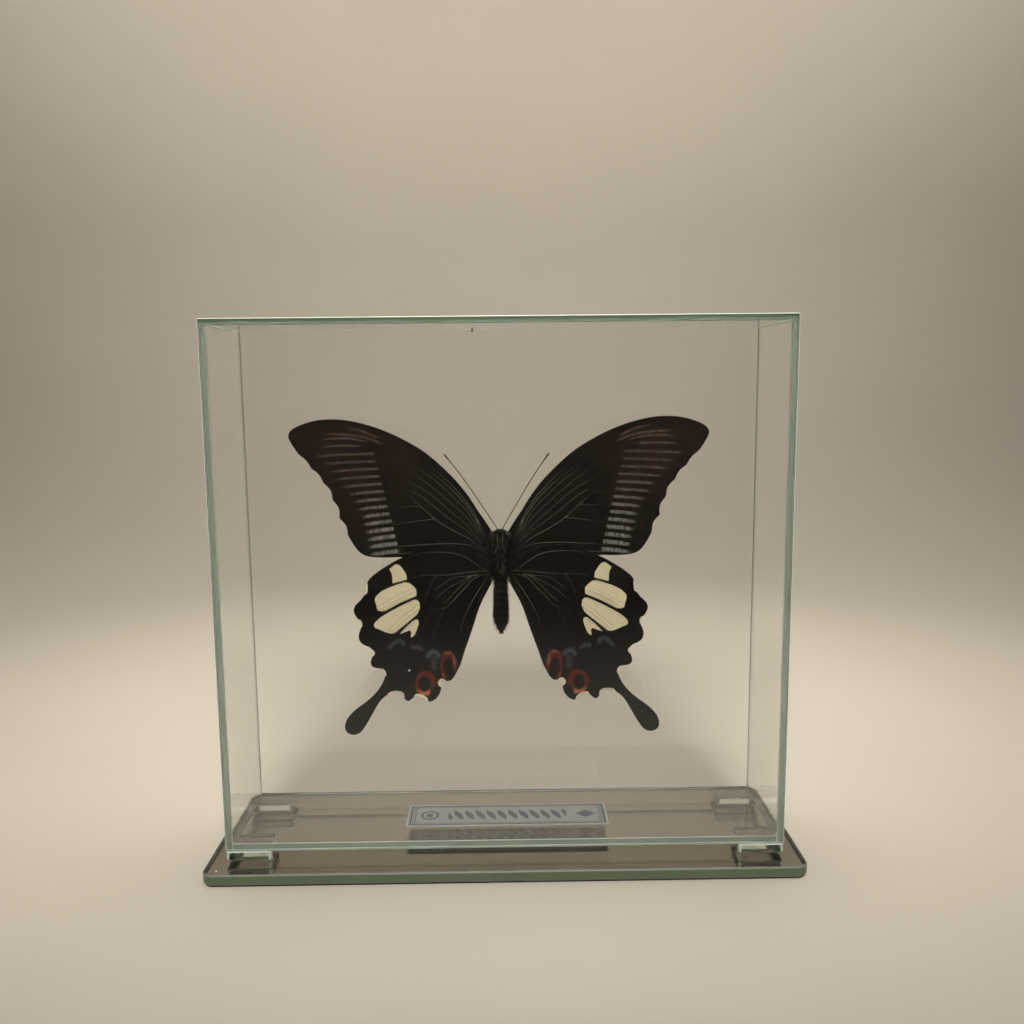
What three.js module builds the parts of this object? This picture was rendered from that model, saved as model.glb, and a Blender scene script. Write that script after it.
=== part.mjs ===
// Butterfly specimen standing in an all-glass display case on a mirror-glass base.
// Millimetres, +Z up. Origin: middle of the base's underside. The case's back faces -Y, its front +Y,
// and the butterfly shows the underside of its wings to the back.
import * as THREE from 'three';

// ---- Driving dimensions ----
const base = { width: 181, depth: 57, glass: 3.4, corner: 4, arris: 0.4 };
const backing = { thick: 0.5, inset: 0.6 };
const foot = { width: 14, depth: 10, height: 3, corner: 1, arris: 0.25 };
const box = { width: 170, depth: 40, height: 159, pane: 2 };
const label = { width: 64.6, depth: 15, thick: 0.15, x: 0.7, y: 0.5 };
const rod = { radius: 1, height: 91, gap: 0.3 };
const insect = { x: -0.6, height: 94 }; // body axis, and height of the middle of the thorax above the table
const wing = { thick: 0.3, forewingY: 0.25, hindwingY: -0.35, step: 0.9 };
const antenna = { shaft: 0.17, club: 0.42, clubLength: 3.2, sides: 8, steps: 26, spread: { left: 1.05, right: 0.95 } };

// ---- Heights that follow from them ----
const baseTop = backing.thick + base.glass;
const caseBottom = baseTop + foot.height;
const inner = { width: box.width - 2 * box.pane, depth: box.depth - 2 * box.pane };

// ---- Materials ----
const finish = (color, roughness, metalness = 0, opacity = 1) =>
  new THREE.MeshStandardMaterial({ color, roughness, metalness, opacity, transparent: opacity < 1 });
const clearGlass = finish(0xcfe0d6, 0.03, 0, 0.35);
const mirrorGlass = finish(0x9aa896, 0.04, 0.9);
const backingPaint = finish(0x1c1c1c, 0.7);
const clearFilm = finish(0xc9d4dc, 0.3, 0, 0.6);
const clearAcrylic = finish(0xe6ece8, 0.05, 0, 0.4);
const wingScales = finish(0x241f1c, 0.85);
const bodyHair = finish(0x16140f, 0.9);
const antennaHorn = finish(0x4a3a26, 0.6);

const object = new THREE.Group();
function add(parent, name, geometry, material, x = 0, y = 0, z = 0) {
  const mesh = new THREE.Mesh(geometry, material);
  mesh.name = name;
  mesh.position.set(x, y, z);
  parent.add(mesh);
  return mesh;
}

// ---- Plates ----
// A rectangle with rounded corners, centred on the origin.
function roundedRectangle(width, depth, corner) {
  const [w, d] = [width / 2, depth / 2];
  const shape = new THREE.Shape();
  shape.moveTo(-w + corner, -d).lineTo(w - corner, -d);
  shape.absarc(w - corner, -d + corner, corner, -Math.PI / 2, 0);
  shape.absarc(w - corner, d - corner, corner, 0, Math.PI / 2);
  shape.absarc(-w + corner, d - corner, corner, Math.PI / 2, Math.PI);
  shape.absarc(-w + corner, -d + corner, corner, Math.PI, Math.PI * 1.5);
  return shape;
}

// A plate that stands on z = 0, with an arris ground along its top and bottom edges.
function plate(width, depth, thick, corner, arris) {
  const outline = roundedRectangle(width - 2 * arris, depth - 2 * arris, corner - arris);
  const bevel = { bevelEnabled: arris > 0, bevelSize: arris, bevelThickness: arris, bevelSegments: 1 };
  const options = { depth: thick - 2 * arris, curveSegments: 6, ...bevel };
  return new THREE.ExtrudeGeometry(outline, options).translate(0, 0, arris);
}

function makeBase() {
  const group = new THREE.Group();
  const sheet = plate(base.width - 2 * backing.inset, base.depth - 2 * backing.inset, backing.thick,
    base.corner - backing.inset, 0);
  add(group, 'mirror_backing', sheet, backingPaint);
  add(group, 'base_glass', plate(base.width, base.depth, base.glass, base.corner, base.arris), mirrorGlass,
    0, 0, backing.thick);
  return group;
}

function makeFeet() {
  const group = new THREE.Group();
  const x = (box.width - foot.width) / 2;
  const y = (box.depth - foot.depth) / 2;
  for (const [row, sideY] of [['back', -1], ['front', 1]]) {
    for (const [column, sideX] of [['left', -1], ['right', 1]]) {
      const block = plate(foot.width, foot.depth, foot.height, foot.corner, foot.arris);
      add(group, `foot_${row}_${column}`, block, clearGlass, sideX * x, sideY * y, baseTop);
    }
  }
  return group;
}

// ---- Glass case ----
// The back and front panes are full size; the top lies between them over the side panes, and the floor
// lies between all four.
function makeCase() {
  const group = new THREE.Group();
  const pane = (name, width, depth, height, x, y, bottom) =>
    add(group, name, new THREE.BoxGeometry(width, depth, height), clearGlass, x, y, bottom + height / 2);
  const wallY = (box.depth - box.pane) / 2;
  const wallX = (box.width - box.pane) / 2;
  const sideHeight = box.height - box.pane;
  pane('pane_back', box.width, box.pane, box.height, 0, -wallY, 0);
  pane('pane_front', box.width, box.pane, box.height, 0, wallY, 0);
  pane('pane_left', box.pane, inner.depth, sideHeight, -wallX, 0, 0);
  pane('pane_right', box.pane, inner.depth, sideHeight, wallX, 0, 0);
  pane('top_pane', box.width, inner.depth, box.pane, 0, 0, sideHeight);
  pane('floor_pane', inner.width, inner.depth, box.pane, 0, 0, 0);
  add(group, 'label', new THREE.BoxGeometry(label.width, label.depth, label.thick), clearFilm,
    label.x, label.y, -label.thick / 2);
  group.position.z = caseBottom;
  return group;
}

// A clear rod, glued to the front pane, that ends just behind the thorax.
function makeSupportRod() {
  const group = new THREE.Group();
  const thoraxBack = Math.max(...bodyStations.map(([, , depth]) => depth));
  const start = thoraxBack + rod.gap;
  const length = inner.depth / 2 - start;
  const stick = new THREE.CylinderGeometry(rod.radius, rod.radius, length, 16);
  add(group, 'support_rod', stick, clearAcrylic, insect.x, start + length / 2, rod.height);
  return group;
}

// ---- Butterfly ----
// Body stations from the tail end to the brow: height, half width, half depth.
const bodyStations = [
  [-25.6, 0.5, 0.5], [-24.4, 1.1, 1.0], [-22.4, 2.1, 1.9], [-19, 2.35, 2.2], [-14, 2.3, 2.3], [-9, 2.15, 2.2],
  [-7.6, 2.3, 2.3], [-6.2, 2.9, 2.9], [-3, 3.2, 3.5], [1, 3.2, 3.7], [4, 2.9, 3.2], [5.2, 2.6, 2.6],
  [6.4, 2.9, 2.3], [7.4, 2.4, 1.8], [7.9, 1.3, 0.9],
];

function makeBody() {
  const across = new THREE.SplineCurve(bodyStations.map(([z, width]) => new THREE.Vector2(width, z)));
  const profile = across.getPoints(44);
  profile.unshift(new THREE.Vector2(0, profile[0].y));
  profile.push(new THREE.Vector2(0, profile.at(-1).y));
  const geometry = new THREE.LatheGeometry(profile, 22).rotateX(Math.PI / 2);
  const deep = new THREE.SplineCurve(bodyStations.map(([z, , depth]) => new THREE.Vector2(depth, z))).getPoints(44);
  const wide = across.getPoints(44);
  const position = geometry.attributes.position;
  for (let i = 0; i < position.count; i++) {
    const z = position.getZ(i);
    const station = deep.reduce((best, p, k) => (Math.abs(p.y - z) < Math.abs(deep[best].y - z) ? k : best), 0);
    position.setY(i, position.getY(i) * deep[station].x / wide[station].x);
  }
  return geometry;
}

// Wing outlines, for the right-hand side: x outwards from the body axis, z from the middle of the thorax.
// Each run of points is one smooth stretch; where two runs meet, the outline has a corner.
const forewingRuns = [
  [[3.6, 6.2], [7.2, 14.4], [11.4, 20.8], [16.4, 26.4], [22.8, 32.1], [29.3, 36.1], [35.6, 39.1], [42, 41.2],
    [48.4, 42.4], [55.2, 42.3], [61.2, 40.7], [64.3, 38.9], [64.9, 37.3], [63.8, 35.2], [61.7, 31.8]],
  [[61.7, 31.8], [59.4, 29.1], [57.9, 27.4]],
  [[57.9, 27.4], [55.8, 24.9], [54.4, 23]],
  [[54.4, 23], [52.6, 20.2], [51.7, 17.7]],
  [[51.7, 17.7], [50.3, 14.6], [49.8, 11.9]],
  [[49.8, 11.9], [48.2, 9.1], [47.4, 6.7]],
  [[47.4, 6.7], [45.6, 3.4], [43.6, 0.9], [40.8, -0.3], [36.8, -0.6], [31.6, -0.5]],
  [[31.6, -0.5], [20, -1.6], [10, -2.8], [3.9, -3.4]],
];
const hindwingRuns = [
  [[3.9, -2.4], [9, 1.2], [16, 3.1], [24, 2.2], [31.6, -1], [35.2, -3], [38.6, -5.2], [41.1, -7.4], [42, -9.4],
    [42.2, -11.4]],
  [[42.2, -11.4], [43.7, -13.7], [45.6, -15.6], [46.2, -17.4], [45.4, -19.4], [44.2, -21]],
  [[44.2, -21], [44.1, -22.8], [44.9, -25.2], [44.5, -27.4], [43, -28.6], [41.2, -29.4], [40.3, -31.1]],
  [[40.3, -31.1], [41.2, -33.3], [41.3, -34.9], [40, -35.9], [38.1, -36.2], [36.9, -38], [37.9, -41],
    [40, -44], [42.9, -46.7], [46.6, -49.5], [49.2, -52.3], [50.2, -55], [49.6, -57.1], [47.4, -57.9],
    [45.2, -57], [43.1, -54.1], [40.9, -50.3], [38.9, -47], [36.6, -44.9], [34.4, -44.1], [32.3, -44.2],
    [31.2, -45.2]],
  [[31.2, -45.2], [30.7, -46.5], [29.6, -46.9], [28.6, -46.1], [27.4, -45.4]],
  [[27.4, -45.4], [25.6, -45.8], [24, -47], [22.3, -47.1], [20.4, -45.6], [19.4, -43.4], [19.3, -41.2]],
  [[19.3, -41.2], [18.6, -40.4], [17.2, -40.6], [15.6, -39.8], [13.6, -36.3], [11.8, -31.3], [9.8, -25.7],
    [7.8, -19.7], [5.9, -13.5], [3.9, -8]],
];

// A closed outline, with points about one step apart along the smooth stretches.
function wingShape(runs, side) {
  const outline = runs.flatMap((run) => {
    const curve = new THREE.SplineCurve(run.map(([x, z]) => new THREE.Vector2(side * x, z)));
    return curve.getSpacedPoints(Math.max(3, Math.round(curve.getLength() / wing.step))).slice(0, -1);
  });
  outline.push(new THREE.Vector2(side * runs.at(-1).at(-1)[0], runs.at(-1).at(-1)[1]));
  return new THREE.Shape(outline);
}

// A flat wing in the XZ plane, centred on y = 0.
function makeWing(runs, side) {
  return new THREE.ExtrudeGeometry(wingShape(runs, side), { depth: wing.thick, bevelEnabled: false })
    .translate(0, 0, -wing.thick / 2).rotateX(Math.PI / 2);
}

// A slim shaft that swells to a club, bent along a curve from the brow. reach is the way out along X.
function makeAntenna(reach) {
  const path = new THREE.CatmullRomCurve3([[0.9, 8.3], [5.6, 16], [11, 24.5], [16.2, 31.6]]
    .map(([x, z]) => new THREE.Vector3(reach * x, 0, z)));
  const length = path.getLength();
  const swell = (s) => THREE.MathUtils.smoothstep(s, length - antenna.clubLength, length - 0.8);
  const profile = [new THREE.Vector2(0, 0)];
  for (let i = 0; i <= antenna.steps; i++) {
    const s = (length * i) / antenna.steps;
    profile.push(new THREE.Vector2(antenna.shaft + (antenna.club - antenna.shaft) * swell(s), s));
  }
  profile.push(new THREE.Vector2(0, length));
  const geometry = new THREE.LatheGeometry(profile, antenna.sides);
  const position = geometry.attributes.position;
  for (let i = 0; i < position.count; i++) {
    const along = THREE.MathUtils.clamp(position.getY(i) / length, 0, 1);
    const point = path.getPointAt(along);
    const tangent = path.getTangentAt(along);
    const across = new THREE.Vector3(tangent.z, 0, -tangent.x);
    point.addScaledVector(across, position.getX(i));
    position.setXYZ(i, point.x, -position.getZ(i), point.z);
  }
  return geometry;
}

function makeButterfly() {
  const group = new THREE.Group();
  add(group, 'body', makeBody(), bodyHair);
  for (const [name, side] of [['left', -1], ['right', 1]]) {
    add(group, `forewing_${name}`, makeWing(forewingRuns, side), wingScales, 0, wing.forewingY);
    add(group, `hindwing_${name}`, makeWing(hindwingRuns, side), wingScales, 0, wing.hindwingY);
    add(group, `antenna_${name}`, makeAntenna(side * antenna.spread[name]), antennaHorn);
  }
  group.position.set(insect.x, 0, insect.height);
  return group;
}

object.add(makeBase(), makeFeet(), makeCase(), makeSupportRod(), makeButterfly());

export default object;
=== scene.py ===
import math

import bmesh
import bpy
import numpy as np
from bpy.props import FloatProperty, FloatVectorProperty, IntProperty, PointerProperty
from mathutils import Matrix, Vector
from mathutils.geometry import delaunay_2d_cdt


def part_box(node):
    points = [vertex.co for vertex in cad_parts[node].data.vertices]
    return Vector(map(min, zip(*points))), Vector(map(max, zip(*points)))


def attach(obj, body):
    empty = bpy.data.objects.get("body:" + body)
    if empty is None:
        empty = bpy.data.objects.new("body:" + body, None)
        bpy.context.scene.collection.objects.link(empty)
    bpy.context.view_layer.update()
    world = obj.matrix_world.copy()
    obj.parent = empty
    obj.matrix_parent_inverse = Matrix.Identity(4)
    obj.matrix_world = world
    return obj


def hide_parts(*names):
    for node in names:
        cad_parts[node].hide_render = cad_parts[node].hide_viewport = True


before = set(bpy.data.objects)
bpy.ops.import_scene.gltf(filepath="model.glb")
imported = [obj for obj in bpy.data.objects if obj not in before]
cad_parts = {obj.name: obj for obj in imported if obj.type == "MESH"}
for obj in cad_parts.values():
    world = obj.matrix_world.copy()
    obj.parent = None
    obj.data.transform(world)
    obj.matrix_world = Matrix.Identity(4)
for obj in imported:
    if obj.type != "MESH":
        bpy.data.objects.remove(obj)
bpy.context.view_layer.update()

bl_info = {
    "name": "Butterfly in a Glass Case",
    "version": (1, 0, 0),
    "blender": (4, 5, 0),
    "location": "View3D > Sidebar > Specimen",
    "description": "Builds a mounted butterfly in an all-glass case on a mirror base",
    "category": "Object",
}

MM = 0.001
BODY = "root"
AXIS_X = -0.6  # the insect's long axis, in millimetres from the case's middle
THORAX_Z = 94.0  # the middle of its thorax above the table
SIDES = {"left": -1, "right": 1}


# ---------------------------------------------------------------- node building
class Wire:
    """One output of a node. Arithmetic on it adds Math nodes to its tree."""

    def __init__(self, build, socket):
        self.build, self.socket = build, socket

    def out(self, name):
        """Another output of the same node."""
        return Wire(self.build, self.socket.node.outputs[name])

    def __add__(self, other):
        return self.build.math("ADD", self, other)

    def __sub__(self, other):
        return self.build.math("SUBTRACT", self, other)

    def __rsub__(self, other):
        return self.build.math("SUBTRACT", other, self)

    def __mul__(self, other):
        return self.build.math("MULTIPLY", self, other)

    def __truediv__(self, other):
        return self.build.math("DIVIDE", self, other)

    def __pow__(self, other):
        return self.build.math("POWER", self, other)

    def __abs__(self):
        return self.build.math("ABSOLUTE", self)

    __radd__ = __add__
    __rmul__ = __mul__


class Builder:
    """Adds nodes to a tree, of a material or of geometry."""

    def __init__(self, tree):
        self.tree = tree

    def node(self, kind, settings=None, sockets=None, output=0):
        """A node: its settings are made first, then the values or links of its sockets."""
        node = self.tree.nodes.new(kind)
        for key, value in (settings or {}).items():
            setattr(node, key, value)
        for key, value in (sockets or {}).items():
            if isinstance(value, Wire):
                self.tree.links.new(value.socket, node.inputs[key])
            else:
                node.inputs[key].default_value = value
        return Wire(self, node.outputs[output]) if len(node.outputs) else node

    def math(self, operation, *values):
        """A Math node."""
        return self.node("ShaderNodeMath", {"operation": operation}, dict(enumerate(values)))

    def vector(self, operation, *values):
        """A Vector Math node."""
        return self.node("ShaderNodeVectorMath", {"operation": operation}, dict(enumerate(values)))

    def ease(self, value, low, high, start=0.0, end=1.0):
        """A smooth step of value from start, at low, to end, at high."""
        return self.node("ShaderNodeMapRange", {"interpolation_type": "SMOOTHSTEP"},
                         {0: value, 1: low, 2: high, 3: start, 4: end})

    def fade(self, value, low, high):
        """A smooth step of value from 1, at low, to 0, at high."""
        return self.ease(value, low, high, 1.0, 0.0)

    def scale(self, vector, factor):
        """A vector times a number."""
        return self.node("ShaderNodeVectorMath", {"operation": "SCALE"}, {0: vector, "Scale": factor})

    def top(self, *values):
        """The highest of some values."""
        result = values[0]
        for value in values[1:]:
            result = self.math("MAXIMUM", result, value)
        return result

    def low(self, *values):
        """The lowest of some values."""
        result = values[0]
        for value in values[1:]:
            result = self.math("MINIMUM", result, value)
        return result


class Finish(Builder):
    """A material on one Principled shader. Its patterns are measured in millimetres."""

    def __init__(self, name):
        self.material = bpy.data.materials.new(name)
        self.material.use_nodes = True
        super().__init__(self.material.node_tree)
        self.tree.nodes.clear()
        self.output = self.tree.nodes.new("ShaderNodeOutputMaterial")
        self.surface = self.tree.nodes.new("ShaderNodeBsdfPrincipled")
        self.tree.links.new(self.surface.outputs[0], self.output.inputs["Surface"])
        place = self.node("ShaderNodeTexCoord", output="Object")
        self.place = self.scale(place, 1 / MM)
        split = self.node("ShaderNodeSeparateXYZ", None, {0: self.place})
        self.x, self.y, self.z = split, split.out("Y"), split.out("Z")

    def noise(self, scale, detail=2.0, roughness=0.5, where=None):
        """Noise, finer as the scale grows."""
        return self.node("ShaderNodeTexNoise", None, {
            "Vector": where or self.place, "Scale": scale, "Detail": detail, "Roughness": roughness})

    def cells(self, scale, randomness=1.0):
        """Small cells: how far a place lies from its cell's middle."""
        return self.node("ShaderNodeTexVoronoi", None, {
            "Vector": self.place, "Scale": scale, "Randomness": randomness})

    def stretched(self, x=1.0, y=1.0, z=1.0):
        """The place, scaled along each axis, for patterns longer one way than another."""
        return self.vector("MULTIPLY", self.place, (x, y, z))

    def field(self, name):
        """A number kept on the mesh's points."""
        return self.node("ShaderNodeAttribute", {"attribute_name": name}, None, "Fac")

    def blend(self, mask, under, over):
        """The colour under, with over laid on it where mask is 1."""
        return self.node("ShaderNodeMix", {"data_type": "RGBA", "clamp_factor": True},
                         {0: mask, 6: under, 7: over}, 2)

    def bump(self, height, distance, strength):
        """Relief of this height. The distance is in millimetres."""
        return self.node("ShaderNodeBump", None, {
            "Strength": strength, "Distance": distance * MM, "Height": height})

    def absorb(self, colour, density):
        """Makes the inside of a clear piece take up light along its length."""
        inside = self.node("ShaderNodeVolumeAbsorption", None, {"Color": (*colour, 1), "Density": density})
        self.tree.links.new(inside.socket, self.output.inputs["Volume"])

    def shade(self, **sockets):
        """Sets or links the shader's sockets. An underscore stands for a space in a socket's name."""
        for key, value in sockets.items():
            socket = self.surface.inputs[key.replace("_", " ")]
            if isinstance(value, Wire):
                self.tree.links.new(value.socket, socket)
            else:
                socket.default_value = value
        return self.material


def tone(red, green, blue):
    """A colour for a shader, from its display values out of 255."""
    def linear(value):
        value /= 255
        return value / 12.92 if value < 0.04045 else ((value + 0.055) / 1.055) ** 2.4
    return (linear(red), linear(green), linear(blue), 1.0)


class Grower(Builder):
    """A Geometry Nodes tree with named inputs, which ends in Realize Instances and Set Material."""

    KINDS = {float: "NodeSocketFloat", int: "NodeSocketInt"}

    def __init__(self, name, **inputs):
        super().__init__(bpy.data.node_groups.new(name, "GeometryNodeTree"))
        face = self.tree.interface
        face.new_socket(name="Geometry", in_out="OUTPUT", socket_type="NodeSocketGeometry")
        face.new_socket(name="Geometry", in_out="INPUT", socket_type="NodeSocketGeometry")
        self.values = inputs
        self.keys = {}
        for key, value in inputs.items():
            kind = self.KINDS[type(value)]
            socket = face.new_socket(name=key.replace("_", " "), in_out="INPUT", socket_type=kind)
            self.keys[key] = socket.identifier
        socket = face.new_socket(name="Material", in_out="INPUT", socket_type="NodeSocketMaterial")
        self.keys["material"] = socket.identifier
        self.source = self.node("NodeGroupInput", output="Geometry")

    def given(self, key):
        """One of the tree's inputs."""
        return self.source.out(key.replace("_", " "))

    def named(self, name, kind="FLOAT"):
        """What the points carry under a name."""
        return self.node("GeometryNodeInputNamedAttribute", {"data_type": kind}, {"Name": name})

    def random(self, low, high, seed, kind="FLOAT"):
        """A random value for each point."""
        output, first = {"FLOAT": (1, 2), "FLOAT_VECTOR": (0, 0)}[kind]  # the node's socket numbers
        return self.node("FunctionNodeRandomValue", {"data_type": kind},
                         {first: low, first + 1: high, "Seed": seed}, output)

    def tube(self, curve, radius):
        """A tube with ends along a curve."""
        circle = self.node("GeometryNodeCurvePrimitiveCircle", {"mode": "RADIUS"},
                           {"Resolution": self.given("Sides"), "Radius": 1.0})
        return self.node("GeometryNodeCurveToMesh", None,
                         {"Curve": curve, "Profile Curve": circle, "Scale": radius, "Fill Caps": True})

    def end(self, geometry):
        """Ends the tree: real mesh, smooth, in the tree's material."""
        made = self.node("GeometryNodeRealizeInstances", None, {0: geometry})
        made = self.node("GeometryNodeSetShadeSmooth", None, {0: made})
        made = self.node("GeometryNodeSetMaterial", None,
                         {"Geometry": made, "Material": self.given("Material")})
        out = self.tree.nodes.new("NodeGroupOutput")
        self.tree.links.new(made.socket, out.inputs[0])
        return self

    def grow(self, name, source, material):
        """A plain mesh object of what the tree makes from the source object, which is used up."""
        modifier = source.modifiers.new("grow", "NODES")
        modifier.node_group = self.tree
        for key, value in self.values.items():
            modifier[self.keys[key]] = value
        modifier[self.keys["material"]] = material
        source.update_tag()
        graph = bpy.context.evaluated_depsgraph_get()
        mesh = bpy.data.meshes.new_from_object(source.evaluated_get(graph))
        source.modifiers.clear()
        bpy.data.objects.remove(source)
        if not mesh.polygons:
            raise RuntimeError(f"{name} grew no faces")
        mesh.name = name
        face_outwards(mesh)
        piece = bpy.data.objects.new(name, mesh)
        bpy.context.scene.collection.objects.link(piece)
        return piece


# ---------------------------------------------------------------- mesh building
def face_outwards(mesh):
    """Turns every face of a closed mesh outwards."""
    work = bmesh.new()
    work.from_mesh(mesh)
    bmesh.ops.recalc_face_normals(work, faces=work.faces)
    work.to_mesh(mesh)
    work.free()


def carry(mesh, fields):
    """Keeps numbers or vectors on a mesh's points, each under its name."""
    for key, values in fields.items():
        values = np.asarray(values, np.float32)
        kind, slot = ("FLOAT_VECTOR", "vector") if values.ndim == 2 else ("FLOAT", "value")
        mesh.attributes.new(key, kind, "POINT").data.foreach_set(slot, values.ravel())


def make_piece(name, points, faces, materials, kinds=None, smooth=True, fields=None):
    """An object from points in millimetres, with its place in its mesh."""
    mesh = bpy.data.meshes.new(name)
    mesh.from_pydata((np.asarray(points, float) * MM).tolist(), [], [tuple(face) for face in faces])
    for material in materials:
        mesh.materials.append(material)
    if kinds is not None:
        mesh.polygons.foreach_set("material_index", np.asarray(kinds, np.int32))
    mesh.polygons.foreach_set("use_smooth", np.full(len(mesh.polygons), smooth))
    carry(mesh, fields or {})
    mesh.update()
    piece = bpy.data.objects.new(name, mesh)
    bpy.context.scene.collection.objects.link(piece)
    return piece


def make_seeds(name, points, links=(), **fields):
    """Points, with links between them and what they carry, for a Geometry Nodes tree to grow from."""
    mesh = bpy.data.meshes.new(name)
    mesh.from_pydata((np.asarray(points, float) * MM).tolist(), list(links), [])
    carry(mesh, fields)
    seeds = bpy.data.objects.new(name, mesh)
    bpy.context.scene.collection.objects.link(seeds)
    return seeds


def settle(piece, slot, *nodes):
    """Puts a finished piece on the frame: the nodes it stands for are hidden."""
    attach(piece, BODY)
    if nodes:
        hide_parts(*nodes)
    return piece


def circle(sides):
    """Equal turns round a circle."""
    return np.linspace(0, 2 * math.pi, sides + 1)[:-1]


def ring_faces(low, high, sides):
    """Faces between two rings of points, from the number of each ring's first point."""
    ahead = [(i + 1) % sides for i in range(sides)]
    return [(low + i, low + j, high + j, high + i) for i, j in enumerate(ahead)]


def chain(start, number):
    """Links along a line of points that starts at this number."""
    return [(start + i, start + i + 1) for i in range(number - 1)]


def mounted(x, y, z, side=1):
    """Points of the insect in the case's millimetres, from its own: outwards, across and up."""
    return np.column_stack([AXIS_X + side * x, y, THORAX_Z + z])


def closed_piece(name, parts, material, slot, *nodes):
    """A piece in one material from points and faces, turned outwards and put on the frame."""
    piece = make_piece(name, *parts, [material])
    face_outwards(piece.data)
    return settle(piece, slot, *nodes)


def loft(rings):
    """Points and faces of a closed skin over rings of equal count, each an (n, 3) array."""
    count = len(rings[0])
    points = np.vstack([*rings, rings[0].mean(0), rings[-1].mean(0)])
    faces = []
    for level in range(len(rings) - 1):
        faces += ring_faces(level * count, (level + 1) * count, count)
    first, last = len(points) - 2, len(points) - 1
    end = (len(rings) - 1) * count
    for i in range(count):
        j = (i + 1) % count
        faces.append((first, j, i))
        faces.append((last, end + i, end + j))
    return points, faces


def gather(parts):
    """Several (points, faces) as one."""
    points, faces, start = [], [], 0
    for some_points, some_faces in parts:
        points.append(some_points)
        faces += [tuple(i + start for i in face) for face in some_faces]
        start += len(some_points)
    return np.vstack(points), faces


def smooth_line(run, step, is_corner=None, closed=False):
    """Points about one step apart along a smooth curve through a run of points."""
    run = np.asarray(run, float)
    count = len(run)
    last = count if closed else count - 1
    ahead = np.roll(run, -1, 0) - run
    behind = run - np.roll(run, 1, 0)
    if not closed:
        ahead[-1], behind[0] = behind[-1], ahead[0]
    points = []
    for i in range(last):
        j = (i + 1) % count
        span = run[j] - run[i]
        length = np.linalg.norm(span)
        leave = span if is_corner is not None and is_corner[i] else unit(ahead[i] + behind[i]) * length
        arrive = span if is_corner is not None and is_corner[j] else unit(ahead[j] + behind[j]) * length
        for k in range(max(1, round(length / step))):
            t = k / max(1, round(length / step))
            points.append((2 * t**3 - 3 * t**2 + 1) * run[i] + (t**3 - 2 * t**2 + t) * leave
                          + (3 * t**2 - 2 * t**3) * run[j] + (t**3 - t**2) * arrive)
    if not closed:
        points.append(run[-1])
    return np.array(points)


def unit(vector):
    """A vector's direction, one long."""
    return vector / max(np.linalg.norm(vector), 1e-12)


def ease(value, low, high):
    """A smooth step of numbers from 0, at low, to 1, at high."""
    t = np.clip((value - low) / (high - low), 0, 1)
    return t * t * (3 - 2 * t)


def near_line(points, run):
    """Each point's distance from a line, and how far along it, 0 to 1, the nearest place is."""
    run = np.asarray(run, float)
    start, span = run[:-1], run[1:] - run[:-1]
    size = np.linalg.norm(span, axis=1)
    travelled = np.concatenate([[0], np.cumsum(size)])
    best, along = np.full(len(points), 1e9), np.zeros(len(points))
    for a, d, length, before in zip(start, span, size, travelled):
        if length < 1e-9:
            continue
        t = np.clip((points - a) @ d / length**2, 0, 1)
        away = np.linalg.norm(points - a - t[:, None] * d, axis=1)
        closer = away < best
        best[closer], along[closer] = away[closer], (before + t * length)[closer]
    return best, along / travelled[-1]


def inside_depth(points, outline):
    """How deep each point lies inside a closed outline. It is negative outside."""
    outline = np.asarray(outline, float)
    away, _ = near_line(points, np.vstack([outline, outline[:1]]))
    inside = np.zeros(len(points), bool)
    x, z = points[:, 0], points[:, 1]
    for (x0, z0), (x1, z1) in zip(outline, np.roll(outline, -1, 0)):
        if z0 == z1:
            continue
        inside ^= ((z0 > z) != (z1 > z)) & (x < (x1 - x0) * (z - z0) / (z1 - z0) + x0)
    return np.where(inside, away, -away)


def plate(low, high, corner, arris, corner_steps=2):
    """A slab with rounded upright corners and a ground arris round both faces.

    The kinds of its faces are 0 for a face, 1 for an arris and 2 for the underside.
    """
    low, high = np.asarray(low, float), np.asarray(high, float)
    middle, half = (low + high) / 2, (high - low) / 2

    def ring(z, inset):
        radius = max(corner - inset, 0.01)
        points = []
        for turn, (sx, sy) in enumerate([(1, 1), (-1, 1), (-1, -1), (1, -1)]):
            for k in range(corner_steps + 1):
                angle = (turn + k / corner_steps) * math.pi / 2
                points.append((middle[0] + sx * (half[0] - inset - radius) + radius * math.cos(angle),
                               middle[1] + sy * (half[1] - inset - radius) + radius * math.sin(angle), z))
        return np.array(points)

    rings = [ring(low[2], arris), ring(low[2] + arris, 0), ring(high[2] - arris, 0), ring(high[2], arris)]
    count = len(rings[0])
    points = np.vstack(rings)
    faces, kinds = [tuple(range(count))[::-1], tuple(range(3 * count, 4 * count))], [2, 0]
    for level in range(3):
        faces += ring_faces(level * count, (level + 1) * count, count)
        straight = [level == 1 and i % (corner_steps + 1) == corner_steps for i in range(count)]
        kinds += [0 if flat else 1 for flat in straight]
    return points, faces, kinds


def node_box(node):
    """A CAD node's lowest and highest corner, in millimetres."""
    low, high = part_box(node)
    return np.array(low) / MM, np.array(high) / MM


# ---------------------------------------------------------------- settings
def length(name, default, description):
    """A length setting. Its default is in millimetres."""
    return FloatProperty(name=name, description=description, default=default * MM, min=0, unit="LENGTH")


def power(name, default, description):
    return FloatProperty(name=name, description=description, default=default, min=0, unit="POWER")


def count(name, default, low, description):
    return IntProperty(name=name, description=description, default=default, min=low)


def density(name, default, description):
    return FloatProperty(name=name, description=description, default=default, min=0)


def colour(name, default, description):
    return FloatVectorProperty(name=name, description=description, default=tone(*default)[:3],
                               min=0, max=1, size=3, subtype="COLOR")


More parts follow.
